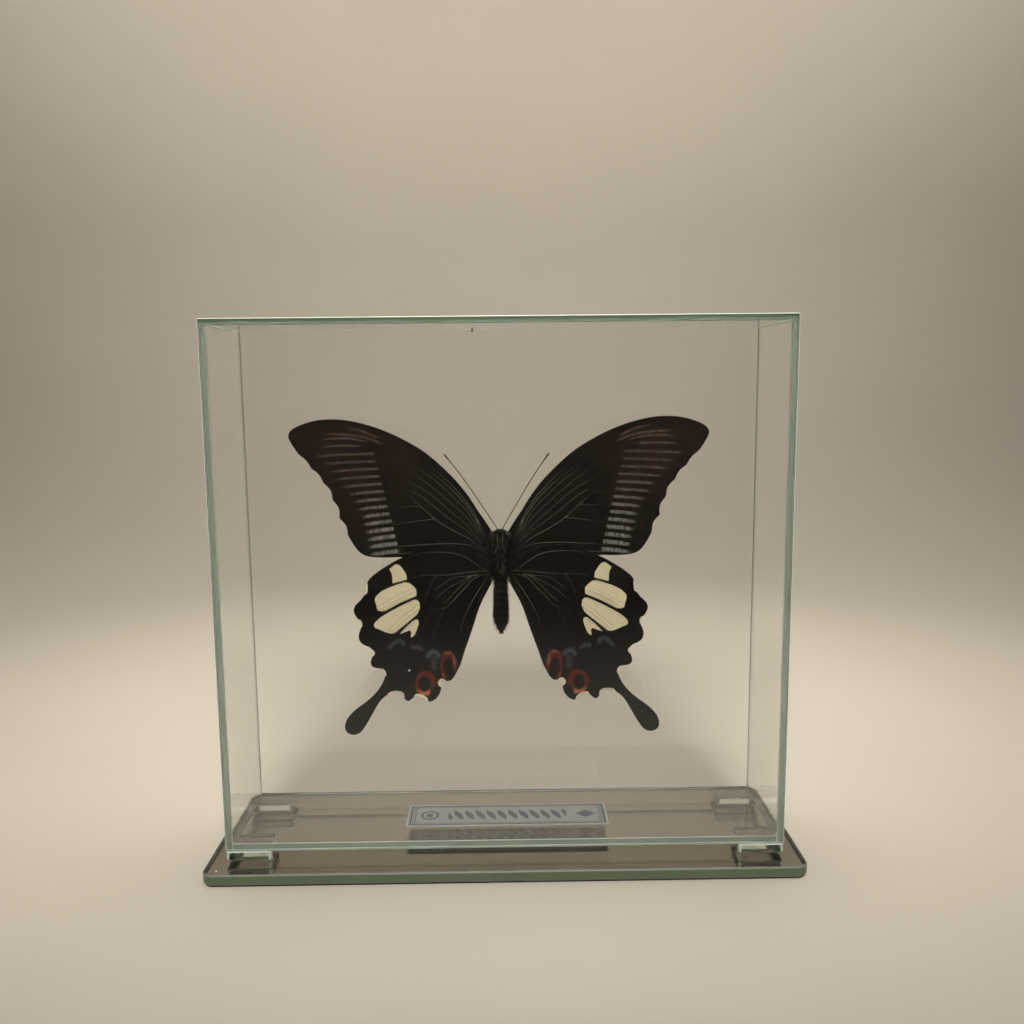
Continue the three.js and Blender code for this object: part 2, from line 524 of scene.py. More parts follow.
class GlassSettings(bpy.types.PropertyGroup):
    arris: length("Arris", 0.2, "Width of the ground edge of the panes")
    foot_arris: length("Foot arris", 0.36, "Width of the ground edge of the feet")
    base_arris: length("Base arris", 0.4, "Width of the ground edge of the mirror base")
    base_corner: length("Base corner", 4.0, "Radius of the base's upright corners")
    joint: length("Joint", 0.02, "How far each pane stops short of the next")
    ior: FloatProperty(name="IOR", description="Refractive index of the glass", default=1.5, min=1, max=2)
    tint: FloatVectorProperty(name="Tint", description="Colour that thick glass lets through", size=3,
                              subtype="COLOR", default=(0.2, 0.68, 0.37), min=0, max=1)
    pane_density: density("Pane density", 8.0, "How strongly the panes' tint builds up, for each metre")
    base_density: density("Base density", 26.0, "How strongly the base's tint builds up, for each metre")
    silver: colour("Silver", (181, 167, 160), "Colour of the silvering under the base")
    backing: colour("Backing", (26, 25, 24), "Colour of the paint behind the silvering")


class WingSettings(bpy.types.PropertyGroup):
    grain: length("Grain", 0.33, "Distance between the points of the wing's mesh")
    membrane: length("Membrane", 0.2, "Thickness of the wing away from its margin")
    margin: length("Margin", 0.07, "Thickness of the wing at its margin")
    vein: length("Vein", 0.08, "Radius of a main vein at the wing's root")
    fringe: length("Fringe", 0.42, "Length of the scales along the margin")
    ground: colour("Ground", (19, 16, 14), "Colour of the dark scales")
    dusting: colour("Dusting", (136, 131, 122), "Colour of the pale scales between the veins")
    cream: colour("Cream", (242, 229, 194), "Colour of the hindwing patch")
    red: colour("Red", (108, 36, 28), "Colour of the rings by the tail")
    blue: colour("Blue", (78, 86, 94), "Colour of the crescents inside the margin")


class BodySettings(bpy.types.PropertyGroup):
    sides: count("Sides", 32, 8, "Points round the body")
    hairs: count("Hairs", 14, 0, "Hairs on each square millimetre of thorax")
    hair: length("Hair", 1.0, "Length of the longest hair")
    chitin: colour("Chitin", (22, 19, 16), "Colour of the hard skin")
    fur: colour("Fur", (34, 28, 24), "Colour of the hair")
    horn: colour("Horn", (88, 68, 46), "Colour of the antennae")
    rings: count("Rings", 58, 4, "Rings along an antenna")


class LabelSettings(bpy.types.PropertyGroup):
    film: colour("Film", (236, 242, 246), "Colour of the label's film")
    ink: colour("Ink", (14, 52, 104), "Colour of the ornament")
    leaves: count("Leaves", 11, 1, "Leaves in the ornament's row")


class StageSettings(bpy.types.PropertyGroup):
    paper: colour("Paper", (196, 188, 175), "Colour of the cove")
    radius: length("Radius", 720, "Radius of the round cove")
    height: length("Height", 1100, "Height of the cove's wall")
    bend: length("Bend", 300, "Radius between floor and wall")
    key: power("Key", 1.7, "Power of the large light in front")
    top: power("Top", 0.44, "Power of the overhead light")
    back: power("Back", 2.0, "Power of the light on the backdrop")


SETTINGS = {
    "specimen_glass": GlassSettings,
    "specimen_wings": WingSettings,
    "specimen_body": BodySettings,
    "specimen_label": LabelSettings,
    "specimen_stage": StageSettings,
}


# ---------------------------------------------------------------- stage
CAMERA_TURN = (0.594, 7.893, -0.572)  # to the right, down and rolled, in degrees
CAMERA_PLACE = (0.16, -290.3, 147.5)  # millimetres
LENS, SENSOR = 33.165, 36  # millimetres
COVE_SIDES = 96
COVE_DROP = 0.02  # millimetres from the part's underside down to the cove's floor
WARM = (1.0, 0.965, 0.91)
SKY, SKY_STRENGTH = (0.9, 0.95, 1.0, 1), 0.1
LIGHTS = [
    # each light's size, place and aim in metres, and its spread in degrees
    ("key", (0.9, 0.3), (0, -0.62, 0.64), (0, 0.02, 0.14), 42),
    ("top", (0.5, 0.3), (0, 0.14, 0.95), (0, 0.12, 0), 44),
    ("back", (1.2, 0.3), (0, -0.1, 0.95), (0, 0.72, 0.47), 56),
]


def paper_finish(settings):
    """Matt paper, faintly mottled."""
    finish = Finish("backdrop_paper")
    grain = finish.noise(0.9, 4, 0.6)
    mottle = finish.noise(0.012, 3)
    shade = (*settings.paper, 1.0)
    dim = tuple(c * 0.94 for c in settings.paper) + (1.0,)
    return finish.shade(Base_Color=finish.blend(mottle, dim, shade), Roughness=0.85,
                        Specular_IOR_Level=0.25, Normal=finish.bump(grain, 0.05, 0.3))


def make_light(name, size, position, target, spread, power):
    """A rectangular light aimed at a place."""
    light = bpy.data.lights.new(name, "AREA")
    light.shape, (light.size, light.size_y) = "RECTANGLE", size
    light.energy, light.spread = power, math.radians(spread)
    light.color = WARM
    lamp = bpy.data.objects.new(name, light)
    lamp.location = position
    lamp.rotation_euler = (Vector(target) - Vector(position)).to_track_quat("-Z", "Y").to_euler()
    bpy.context.scene.collection.objects.link(lamp)


def make_camera():
    """A camera at table-top height, in front of the case's back and a little to the right."""
    yaw, pitch, roll = (math.radians(angle) for angle in CAMERA_TURN)
    ahead = Vector((math.sin(yaw) * math.cos(pitch), math.cos(yaw) * math.cos(pitch), -math.sin(pitch)))
    level = Vector((math.cos(yaw), -math.sin(yaw), 0))
    rise = level.cross(ahead)
    right = math.cos(roll) * level + math.sin(roll) * rise
    up = -math.sin(roll) * level + math.cos(roll) * rise
    data = bpy.data.cameras.new("camera")
    data.lens, data.sensor_width, data.clip_start = LENS, SENSOR, 5 * MM
    camera = bpy.data.objects.new("camera", data)
    camera.matrix_world = Matrix((right, up, -ahead)).transposed().to_4x4()
    camera.location = Vector(CAMERA_PLACE) * MM
    bpy.context.scene.collection.objects.link(camera)
    bpy.context.scene.camera = camera


def cove_parts(settings):
    """Points and faces of a round floor that bends up into a wall."""
    radius, bend, height = (v / MM for v in (settings.radius, settings.bend, settings.height))
    profile = [(r, -COVE_DROP) for r in np.linspace(0, radius - bend, 8)[1:]]
    profile += [(radius - bend * (1 - math.sin(a)), bend * (1 - math.cos(a)) - COVE_DROP)
                for a in np.linspace(0, math.pi / 2, 20)[1:]]
    profile += [(radius, z) for z in np.linspace(bend, height, 6)[1:]]
    turns = circle(COVE_SIDES)
    points = [(0, 0, -COVE_DROP)]
    points += [(r * math.cos(a), r * math.sin(a), z) for r, z in profile for a in turns]
    faces = [(0, 1 + i, 1 + (i + 1) % COVE_SIDES) for i in range(COVE_SIDES)]
    for level in range(len(profile) - 1):
        low, high = 1 + level * COVE_SIDES, 1 + (level + 1) * COVE_SIDES
        faces += ring_faces(high, low, COVE_SIDES)
    return points, faces


class SPECIMEN_OT_stage(bpy.types.Operator):
    """Make the camera, the round cove and the lights"""

    bl_idname = "specimen.stage"
    bl_label = "Stage"

    def execute(self, context):
        settings = context.scene.specimen_stage
        make_camera()
        make_piece("cove", *cove_parts(settings), [paper_finish(settings)])
        for name, size, position, target, spread in LIGHTS:
            make_light(name, size, position, target, spread, getattr(settings, name))
        world = bpy.data.worlds.new("room")
        world.use_nodes = True
        sky = world.node_tree.nodes["Background"].inputs
        sky[0].default_value, sky[1].default_value = SKY, SKY_STRENGTH
        scene = context.scene
        scene.world = world
        scene.view_settings.view_transform = "Standard"
        # light runs far inside the panes before it leaves by their edges
        scene.cycles.max_bounces = scene.cycles.transmission_bounces = 18
        scene.cycles.glossy_bounces = 12
        return {"FINISHED"}


# ---------------------------------------------------------------- glass
DUST_FILM = 0.03  # how much light the dust on a pane takes where it lies thickest
EDGE_REACH = 0.5  # millimetres: a face that reaches further across a plate's thickness is its edge


def glass_finish(name, settings, density, roughness=0.0, ior=None):
    """Float glass: clear through its faces and green along its length, with a faint film of dust."""
    finish = Finish(name)
    finish.absorb(settings.tint, density)
    film = 1.0 - finish.ease(finish.noise(0.05, 3), 0.45, 0.75) * DUST_FILM
    clean = finish.blend(film, (0.9, 0.9, 0.88, 1), (1, 1, 1, 1))
    ripple = finish.noise(0.02, 1, where=finish.stretched(1.0, 1.0, 0.35))
    return finish.shade(Base_Color=clean, Roughness=roughness, IOR=ior or settings.ior,
                        Transmission_Weight=1.0, Specular_IOR_Level=0.24,
                        Normal=finish.bump(ripple, 0.03, 0.5))


def ground_finish(name, settings, density, roughness, clear, pale=(232, 241, 228), deep=(204, 220, 202)):
    """A ground edge of glass, which scatters some of the light that comes along inside."""
    finish = Finish(name)
    finish.absorb(settings.tint, density)
    grain = finish.noise(6, 3, 0.7)
    streak = finish.noise(0.5, 3, where=finish.stretched(0.15, 0.15, 0.15))
    colour = finish.blend(streak * 0.6 + grain * 0.4, tone(*pale), tone(*deep))
    return finish.shade(Base_Color=colour, Roughness=roughness, IOR=settings.ior,
                        Transmission_Weight=clear, Normal=finish.bump(grain, 0.02, 0.5))


def silver_finish(settings):
    """Silvering, a little worn in places."""
    finish = Finish("silvering")
    worn = finish.ease(finish.noise(0.35, 5, 0.7), 0.62, 0.8)
    clean = (*settings.silver, 1)
    dull = tuple(c * 0.72 for c in settings.silver) + (1,)
    return finish.shade(Base_Color=finish.blend(worn, clean, dull), Metallic=1.0,
                        Roughness=finish.ease(worn, 0, 1, 0.0, 0.12))


def backing_finish(settings):
    """Brushed dark paint with a few flecks."""
    finish = Finish("backing_paint")
    stroke = finish.noise(1.4, 4, 0.6, finish.stretched(0.12, 1, 1))
    fleck = finish.ease(finish.noise(5, 2), 0.62, 0.7)
    colour = finish.blend(fleck, (*settings.backing, 1), tone(58, 54, 50))
    return finish.shade(Base_Color=colour, Roughness=0.7, Normal=finish.bump(stroke, 0.05, 0.6))


def make_plate(name, node, slot, materials, corner, arris, joint, corner_steps=2):
    """A plate in a node's place. Its materials are for face, arris, underside and edge, or fewer."""
    low, high = node_box(node)
    points, faces, kinds = plate(low + joint, high - joint, corner, arris, corner_steps)
    if len(materials) > 3:
        thin = np.argmin(high - low)
        kinds = [3 if np.ptp(points[list(face)][:, thin]) > EDGE_REACH else kind
                 for face, kind in zip(faces, kinds)]
    kinds = [kind if kind < len(materials) else 0 for kind in kinds]
    return settle(make_piece(name, points, faces, materials, kinds, smooth=False), slot, node)


class SPECIMEN_OT_mirror_base(bpy.types.Operator):
    """Make the base, of thick glass silvered underneath, and its painted backing"""

    bl_idname = "specimen.mirror_base"
    bl_label = "Mirror base"

    def execute(self, context):
        glass = context.scene.specimen_glass
        dense = glass.base_density
        materials = [glass_finish("base_body", glass, dense),
                     ground_finish("base_arris", glass, dense, 0.2, 0.78), silver_finish(glass),
                     ground_finish("base_edge", glass, dense, 0.3, 0.6, (134, 152, 118), (98, 120, 88))]
        corner, joint = glass.base_corner / MM, glass.joint / MM
        make_plate("mirror_plate", "base_glass", "mirror_glass", materials, corner, glass.base_arris / MM,
                   joint, 10)
        make_plate("backing_sheet", "mirror_backing", "backing_paint", [backing_finish(glass)],
                   corner - 0.6, 0.05, 0.0, 10)
        return {"FINISHED"}


class SPECIMEN_OT_glass_case(bpy.types.Operator):
    """Make the six panes of the case"""

    bl_idname = "specimen.glass_case"
    bl_label = "Glass case"

    def execute(self, context):
        glass = context.scene.specimen_glass
        density = glass.pane_density
        clear = glass_finish("pane_glass", glass, density)
        arris = ground_finish("pane_arris", glass, density, 0.3, 0.3, (246, 251, 243))
        edge = ground_finish("pane_edge", glass, density, 0.2, 0.58)
        top_edge = ground_finish("top_edge", glass, density, 0.2, 0.4)
        names = {"back_sheet": "pane_back", "front_sheet": "pane_front", "left_sheet": "pane_left",
                 "right_sheet": "pane_right", "top_sheet": "top_pane", "floor_sheet": "floor_pane"}
        for name, node in names.items():
            materials = [clear, arris, clear, top_edge if node == "top_pane" else edge]
            make_plate(name, node, "clear_glass", materials, glass.arris / MM, glass.arris / MM,
                       glass.joint / MM)
        return {"FINISHED"}


class SPECIMEN_OT_feet(bpy.types.Operator):
    """Make the four glass blocks that hold the case above its base"""

    bl_idname = "specimen.feet"
    bl_label = "Feet"

    def execute(self, context):
        glass = context.scene.specimen_glass
        density = glass.pane_density
        materials = [glass_finish("foot_glass", glass, density, 0.1, 1.25),
                     ground_finish("foot_arris", glass, density, 0.25, 0.35)]
        for row in ("back", "front"):
            for side in SIDES:
                make_plate(f"{row}_{side}_block", f"foot_{row}_{side}", "clear_glass", materials, 1.0,
                           glass.foot_arris / MM, glass.joint / MM, 5)
        return {"FINISHED"}


# ---------------------------------------------------------------- label
FRAME_LINES = ((1.15, 0.34), (2.0, 0.13))  # how far in from the rim each runs, and half its width
END_LINE = (2.65, 0.13)  # a third one, across the short ends alone
LEAF_PITCH, LEAF_LEAN, LEAF_HEIGHT = 3.5, 0.4, 3.4
RING_IN, RING_RADIUS, DOT_RADIUS = 7.2, 2.6, 1.0
LOZENGE_IN, LOZENGE_HALF = 7.0, (3.4, 2.5)


def label_finish(settings, half_width, half_depth, middle):
    """A milky film with a double frame, a ring, a row of leaves and a lozenge in one ink."""
    finish = Finish("label_film")
    x, y = finish.x - middle[0], finish.y - middle[1]
    across, up = abs(x), abs(y)
    rim = finish.low(half_width - across, half_depth - up)

    def band(value, at, half):
        return finish.fade(abs(value - at), half * 0.7, half * 1.15)

    frame_lines = finish.top(*[band(rim, *line) for line in FRAME_LINES])
    short_end = band(half_width - across, *END_LINE) * finish.ease(rim, 1.1, 1.2)
    frame_lines = finish.top(frame_lines, short_end)
    pitch, span = LEAF_PITCH, LEAF_PITCH * settings.leaves
    along = x + LEAF_LEAN * y
    cell = finish.math("PINGPONG", along + pitch * (settings.leaves % 2) / 2, pitch / 2)
    leaf = finish.fade(cell / (pitch * 0.34) + (up / LEAF_HEIGHT) ** 2.0, 0.9, 1.08)
    row = finish.fade(across, span / 2 - 0.2, span / 2)
    ring_x = x + half_width - RING_IN
    from_ring = finish.math("SQRT", ring_x * ring_x + y * y)
    ring, dot = band(from_ring, RING_RADIUS, 0.42), finish.fade(from_ring, DOT_RADIUS, DOT_RADIUS + 0.3)
    wide, high = LOZENGE_HALF
    lozenge = finish.fade(abs(x - half_width + LOZENGE_IN) / wide + up / high, 0.92, 1.06)
    worn = finish.ease(finish.noise(4, 3), 0.3, 0.42)
    ink = finish.top(frame_lines, leaf * row, ring, dot, lozenge) * worn
    film = finish.blend(finish.noise(0.25, 2), (*settings.film, 1), tone(206, 214, 220))
    pale = finish.fade(rim, 0.35, 0.75)
    film = finish.blend(pale, film, tone(240, 243, 244))
    colour = finish.blend(ink, film, (*settings.ink, 1))
    alpha = finish.top(ink * 0.97, 0.72 + pale * 0.2)
    return finish.shade(Base_Color=colour, Alpha=alpha, Roughness=finish.ease(ink, 0, 1, 0.6, 0.5),
                        IOR=1.15, Subsurface_Weight=1.0, Subsurface_Scale=0.08 * MM,
                        Subsurface_Radius=(1, 1, 1), Normal=finish.bump(ink, 0.01, 0.4))


class SPECIMEN_OT_label(bpy.types.Operator):
    """Make the printed film under the case's floor"""

    bl_idname = "specimen.label"
    bl_label = "Label"

    def execute(self, context):
        low, high = node_box("label")
        middle, half = (low + high) / 2, (high - low) / 2
        material = label_finish(context.scene.specimen_label, half[0], half[1], middle)
        points, faces, _ = plate(low + 0.01, high - 0.01, 0.9, 0.03, 6)
        piece = make_piece("name_film", points, faces, [material], smooth=False)
        settle(piece, "label_film", "label")
        return {"FINISHED"}


# ---------------------------------------------------------------- support rod
class SPECIMEN_OT_support_rod(bpy.types.Operator):
    """Make the clear rod that holds the insect, with its beads of glue"""

    bl_idname = "specimen.support_rod"
    bl_label = "Support rod"

    def execute(self, context):
        low, high = node_box("support_rod")
        middle = (low + high) / 2
        radius = (high[0] - low[0]) / 2
        start, end = low[1], high[1]
        # places along the rod, and its girth there as a share of its radius
        profile = [(start - 0.75, 0.5), (start - 0.6, 1.1), (start - 0.2, 1.35), (start + 0.2, 1.3),
                   (start + 0.7, 1.08), (start + 1.2, 1.0)]
        profile += [(y, 1.0) for y in np.linspace(start + 2.2, end - 2.2, 7)]
        profile += [(end - 1.0, 1.02), (end - 0.5, 1.12), (end - 0.2, 1.32), (end - 0.06, 1.55),
                    (end - 0.03, 1.5)]
        turns = circle(32)
        rings = [np.array([(middle[0] + radius * r * math.cos(a), y, middle[2] + radius * r * math.sin(a))
                           for a in turns]) for y, r in profile]
        finish = Finish("acrylic")
        scratch = finish.noise(0.8, 3, where=finish.stretched(1, 0.1, 1))
        finish.shade(Base_Color=finish.blend(scratch, (1, 1, 1, 1), (0.96, 0.97, 0.97, 1)), Roughness=0.02,
                     IOR=1.49, Transmission_Weight=1.0, Normal=finish.bump(scratch, 0.01, 0.3))
        closed_piece("clear_rod", loft(rings), finish.material, "clear_acrylic", "support_rod")
        return {"FINISHED"}


# ---------------------------------------------------------------- wings
# Points are in millimetres for a right-hand wing: outwards from the body's axis, and up from mid-thorax.
FORE_VEINS = [
    # each line's points, then its radius at the root and at its end as shares of the main vein's
    ([(4.2, 0.2), (8, 2.5), (13, 3.5), (20, 3.6), (27, 3.2), (31, 2.9), (40, 1.8), (44.3, 1.3)], 0.8, 0.4),
    ([(3.8, 1.2), (6, 2.2), (10, 5.3), (15, 8), (19.5, 10.9), (23, 14), (26, 16.8), (28, 18.8), (31, 22),
      (33, 24.5)], 1.0, 0.7),
    ([(3.8, 3.2), (5.2, 5.5), (8, 12), (12, 17.6), (17, 22.6), (23, 27), (29.5, 30.8)], 1.0, 0.8),
    ([(3.6, 4.6), (5, 7), (8.5, 14), (13, 20), (18, 25), (25, 30.6), (31, 35), (33.5, 37)], 1.0, 0.5),
    ([(29.5, 30.8), (32, 28.6), (32.6, 26), (33, 24.5)], 0.6, 0.6),
    ([(20.4, 11.5), (25, 10.9), (30, 10.2), (39, 8.6), (47.2, 6.8)], 0.7, 0.4),
    ([(24.6, 15.5), (33, 15), (40, 14.2), (49.6, 12)], 0.7, 0.4),
    ([(28.2, 19.1), (35, 19.6), (43, 19.2), (51.5, 17.7)], 0.7, 0.4),
    ([(33, 24.5), (38, 24.6), (46, 24.2), (54.2, 23)], 0.7, 0.4),
    ([(32.5, 26.8), (37, 27), (46, 27.6), (57.7, 27.4)], 0.7, 0.4),
    ([(31.4, 29.4), (38, 30.9), (48, 32.2), (61.4, 31.9)], 0.7, 0.4),
    ([(29.5, 30.8), (36, 33.2), (44, 35), (54, 35.9), (63.2, 35.6)], 0.7, 0.4),
    ([(29.5, 30.8), (33, 33.5), (38, 36.4), (44, 38.5), (50, 39.3), (57, 39.2), (63.6, 38.4)], 0.8, 0.4),
    ([(28, 30.9), (34, 35.4), (40, 38.6), (47, 40.5), (54, 41.1)], 0.7, 0.4),
]
# between these distances from the root, veins and folds fade to the wing's own colour
VEIN_FADE = {"forewing": (21, 37), "hindwing": (12, 31)}
FOLD_FADE = {"forewing": (29, 41), "hindwing": (18, 34)}
# the crests of the forewing's scalloped margin
SCALLOPS = [(61.7, 31.8), (57.9, 27.4), (54.4, 23), (51.7, 17.7), (49.8, 11.9), (47.4, 6.7)]
FORE_FOLDS = [
    [(6, 3.6), (10, 7.5), (13, 9.6), (17, 12.5), (20, 15), (24, 18.3), (27.4, 20.2)],
    [(6, 4.2), (10, 9), (12, 11), (15, 13.4), (20, 18), (25, 21.5), (29, 23.5), (31.5, 24.3)],
    [(6, 5.4), (10, 11.4), (15, 16.2), (20, 20.6), (25, 24.6), (28.5, 26.9), (32, 27.4)],
    [(6.4, 7), (10, 13.5), (15, 18.8), (20, 23.5), (25.5, 27.4)],
    [(5.2, -0.6), (9, 0.6), (16, 1.0), (26, 0.8), (38, 0.4)],
]
HIND_VEINS = [
    ([(3.6, -5), (5.6, -4.4), (8.5, -2.2), (12, -0.1), (16, 0.9), (20, 1.1), (24, 0.9), (27, 0.1),
      (31, -0.9), (36, -4), (41, -8.4)], 0.9, 0.4),
    ([(3.4, -5.2), (8, -5.2), (12, -5.6), (17, -6.2), (20, -6.2), (25, -6.4), (29.2, -7.9), (33.9, -9),
      (42, -11.3)], 1.0, 0.4),
    ([(20, -6.3), (22, -9), (23, -11.6), (26.4, -13.2), (32, -15.5), (38.5, -18.6), (44, -21)], 0.7, 0.4),
    ([(23, -11.6), (24.2, -15.4), (25.5, -19), (33.5, -25), (40.1, -31)], 0.6, 0.4),
    ([(3.4, -5.8), (8.5, -7.5), (11, -10.3), (14, -13.3), (16.3, -15.9), (18.5, -16.9), (21, -17)],
     1.0, 0.7),
    ([(21, -17), (23.6, -17.6), (25.5, -19)], 0.6, 0.6),
    ([(21, -17), (24.4, -21.6), (28, -27), (31.8, -33.2), (36, -40), (40, -46), (46.6, -54)], 0.8, 0.5),
    ([(17.6, -16.5), (21, -24), (24, -32), (27, -39.5), (29.7, -46)], 0.8, 0.4),
    ([(3.6, -6.4), (7.4, -12), (10.5, -17.5), (12, -21), (15.6, -31), (19.2, -40.8)], 0.6, 0.4),
]
HIND_FOLDS = [
    [(7, -6), (10, -6.6), (15, -7.2), (18.5, -9.5), (20.5, -10.8)],
    [(7, -6.3), (10, -7), (13, -8.6), (17, -10.8), (20.4, -13.8)],
    [(7, -6.4), (9, -6.8), (12, -9.2), (15, -12.4), (18, -15.3)],
    [(25.6, -10.2), (31, -12.6), (38, -16.4)],
    [(25.4, -15.9), (30, -19.4), (34.6, -23.5)],
]
CREAM_PATCHES = [
    [(29.2, -7.6), (29.4, -5.8), (30.6, -3.8), (31.6, -2.8), (32.8, -2.6), (34.8, -4.2), (34.2, -5.2),
     (33.9, -6.4), (33.9, -8.7), (33.4, -8.7)],
    [(27, -9.8), (28.6, -8.5), (30, -8.3), (32, -8.9), (35, -10), (37.5, -11.2), (39.2, -12.8), (39.6, -14),
     (39.1, -15.6), (38.8, -17.2), (37.8, -17.6), (36.4, -17.5), (31, -14.7), (26.4, -12.8), (26.3, -11)],
    [(26.3, -13.9), (25.4, -14.8), (25.3, -16.6), (26.2, -18.6), (28.5, -20.6), (31, -22.6), (33.4, -24.6),
     (34.6, -24.8), (36, -24.5), (38, -23.6), (39.8, -22.8), (40.1, -22), (39.6, -21), (37.8, -19.4),
     (35, -17.7), (31, -15.6), (27.3, -13.9)],
    [(25.9, -20.6), (26.6, -20.1), (27.6, -20.6), (29.6, -22.3), (31.8, -24.6), (32.2, -25.1),
     (30.8, -24.6), (28.8, -23.8), (28.3, -24.4), (28.6, -25.9), (28.2, -26.2), (27.1, -25.2),
     (26.2, -23), (25.8, -21.4)],
]
CRESCENTS = [
    # points, half width and strength of each blue crescent inside the hindwing's margin
    ([(19.9, -32.2), (20.6, -31.2), (21.8, -30.8), (22.7, -31.4), (23.2, -32.2)], 0.8, 0.9),
    ([(21.2, -33.2), (21.4, -36)], 1.1, 0.45),
    ([(25.4, -29.9), (26.6, -29.2), (27.8, -29.3)], 0.75, 0.7),
    ([(30.9, -28.3), (31.2, -27.4), (32.5, -27.1), (33.6, -27.6), (35, -29.2)], 0.75, 0.75),
]
# where the hindwing's margin is pale: a point, its reach along the margin, and its strength
PALE_FRINGE = [(19.3, -40.9, 1.5, 1.0), (25.6, -45.8, 2.4, 1.0), (33.4, -44.1, 2.8, 0.6),
               (37, -37.2, 1.5, 0.4), (42.1, -10.6, 1.8, 0.5),
               (44.1, -21.3, 1.4, 0.5), (40.3, -31.1, 1.1, 0.4)]
# the centre and radii of each ringed spot by the tail, of its dark core and of the gap in its ring
RINGED_SPOTS = [
    (((16.8, -35.4), (2.7, 4.9)), ((16.9, -36.2), (1.6, 3.1)), ((15.5, -39.2), (1.5, 1.9))),
    (((24.2, -41.1), (3.5, 4.2)), ((24.5, -41.3), (1.9, 2.5)), ((20.9, -44.4), (1.9, 2.2))),
]
SCALLOP_DIP = 0.55  # millimetres from a crest's line in to the margin
SHARP_TURN = 22  # degrees: the outline stays sharp where the CAD's turns by more
OUTLINE_STEP = 0.3  # millimetres between the points of an outline
ROOT_REACH = 1.5  # millimetres that a wing's root reaches on into the thorax
TIP_PASSES = 14  # each pass rounds the forewing's tip a little more
ROW_PITCH = 0.866  # rows of a triangular grid, as a share of its step
LINE_GAP = 0.12  # millimetres that lines in a wing's mesh stop short of its outline
GRID_GAP = 0.2  # and the grid's points
STREAKS, STREAK_PITCH = 14, 2.34  # bars of dusting on the forewing, and millimetres from one to the next


def wing_outline(node):
    """A wing's outline from its CAD node, in the wing's own millimetres, smooth between corners."""
    work = bmesh.new()
    work.from_mesh(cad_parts[node].data)
    bmesh.ops.remove_doubles(work, verts=work.verts, dist=1e-6)
    beside = {}
    for edge in work.edges:
        facing = [face.normal.y < -0.5 for face in edge.link_faces]
        if len(facing) == 2 and facing[0] != facing[1]:
            a, b = edge.verts
            beside.setdefault(a.index, []).append(b.index)
            beside.setdefault(b.index, []).append(a.index)
    work.verts.ensure_lookup_table()
    start = min(beside)
    loop, previous = [start], None
    while True:
        here = loop[-1]
        after = [v for v in beside[here] if v != previous][0]
        if after == start:
            break
        loop.append(after)
        previous = here
    run = np.array([(work.verts[i].co.x / MM - AXIS_X, work.verts[i].co.z / MM - THORAX_Z) for i in loop])
    work.free()
    x, z = run[:, 0], run[:, 1]
    if np.sum(x * np.roll(z, -1) - np.roll(x, -1) * z) < 0:
        run = run[::-1]
    ahead = np.roll(run, -1, 0) - run
    behind = run - np.roll(run, 1, 0)
    turn = np.arctan2(behind[:, 0] * ahead[:, 1] - behind[:, 1] * ahead[:, 0], np.sum(behind * ahead, 1))
    corners = np.abs(turn) > math.radians(SHARP_TURN)
    line = smooth_line(run, OUTLINE_STEP, corners, closed=True)
    line[:, 0] -= ROOT_REACH * (1 - ease(line[:, 0], 3.6, 7.6))
    tip = ease(line[:, 0], 59.5, 61.5)[:, None]
    for _ in range(TIP_PASSES):
        line += tip * ((np.roll(line, 1, 0) + np.roll(line, -1, 0)) / 2 - line)
    for start, end in zip(SCALLOPS, SCALLOPS[1:]):
        chord = np.subtract(end, start)
        along = (line - start) @ chord / (chord @ chord)
        away = np.abs((line - start) @ np.array([-chord[1], chord[0]])) / np.linalg.norm(chord)
        inwards = np.array([chord[1], -chord[0]]) / np.linalg.norm(chord)
        dip = SCALLOP_DIP * np.sin(math.pi * np.clip(along, 0, 1)) * (away < 1.5)
        line += dip[:, None] * inwards
    return line


def stand(x, z, side):
    """How far a dried wing stands from its plane, the same for both wings of a side."""
    free = ease(x, 4, 22)
    turn = 0.5 if side > 0 else 2.1
    wave = 0.16 * np.sin(0.13 * x + 0.06 * z + turn) + 0.11 * np.sin(0.21 * z - 0.05 * x + 2 * turn)
    return free * (wave + 0.0004 * (x - 20) ** 2 * (0.5 if side > 0 else 0.7))


def streak_field(points):
    """Strength of the pale dusting between the forewing's veins."""
    strength = np.zeros(len(points))
    for i in range(STREAKS):
        x0, z0 = 31.5 + 0.5 * i, 1.5 + STREAK_PITCH * i
        x1, z1 = 42 + 0.1 * i * i, z0 - 1.5 + 0.05 * i
        away, along = near_line(points, [(x0, z0), ((x0 + x1) / 2, (z0 + z1) / 2 + 0.15), (x1, z1)])
        half = 0.74 - 0.012 * i
        level = 0.5 + 0.5 * math.exp(-((i - 1.5) / 3) ** 2)
        body = 1 - ease(away, half * 0.25, half * 1.3)
        fade = ease(along, -0.02, 0.05) * (1 - 0.9 * ease(along, 0.5 + 0.02 * i, 1.0))
        strength = np.maximum(strength, body * fade * level)
    for run in ([(41, 34.2), (50, 34.4), (58, 33.6)], [(38, 34.9), (46, 36.6), (58, 36.3)],
                [(34, 33.9), (41, 36.9), (50, 38), (58, 37.8)], [(36, 36.2), (42, 38.9), (49, 40.2)]):
        away, along = near_line(points, smooth_line(run, 1.0))
        body = 1 - ease(away, 0.15, 0.6)
        strength = np.maximum(strength, 0.6 * body * ease(along, 0, 0.2) * (1 - ease(along, 0.6, 1)))
    return strength


def pale_field(points, kind):
    """How pale the margin is at each point."""
    pale = np.zeros(len(points))
    for x, z, reach, level in PALE_FRINGE if kind == "hindwing" else ():
        away = np.hypot(points[:, 0] - x, points[:, 1] - z)
        pale = np.maximum(pale, level * (1 - ease(away, reach * 0.75, reach * 1.15)))
    return pale


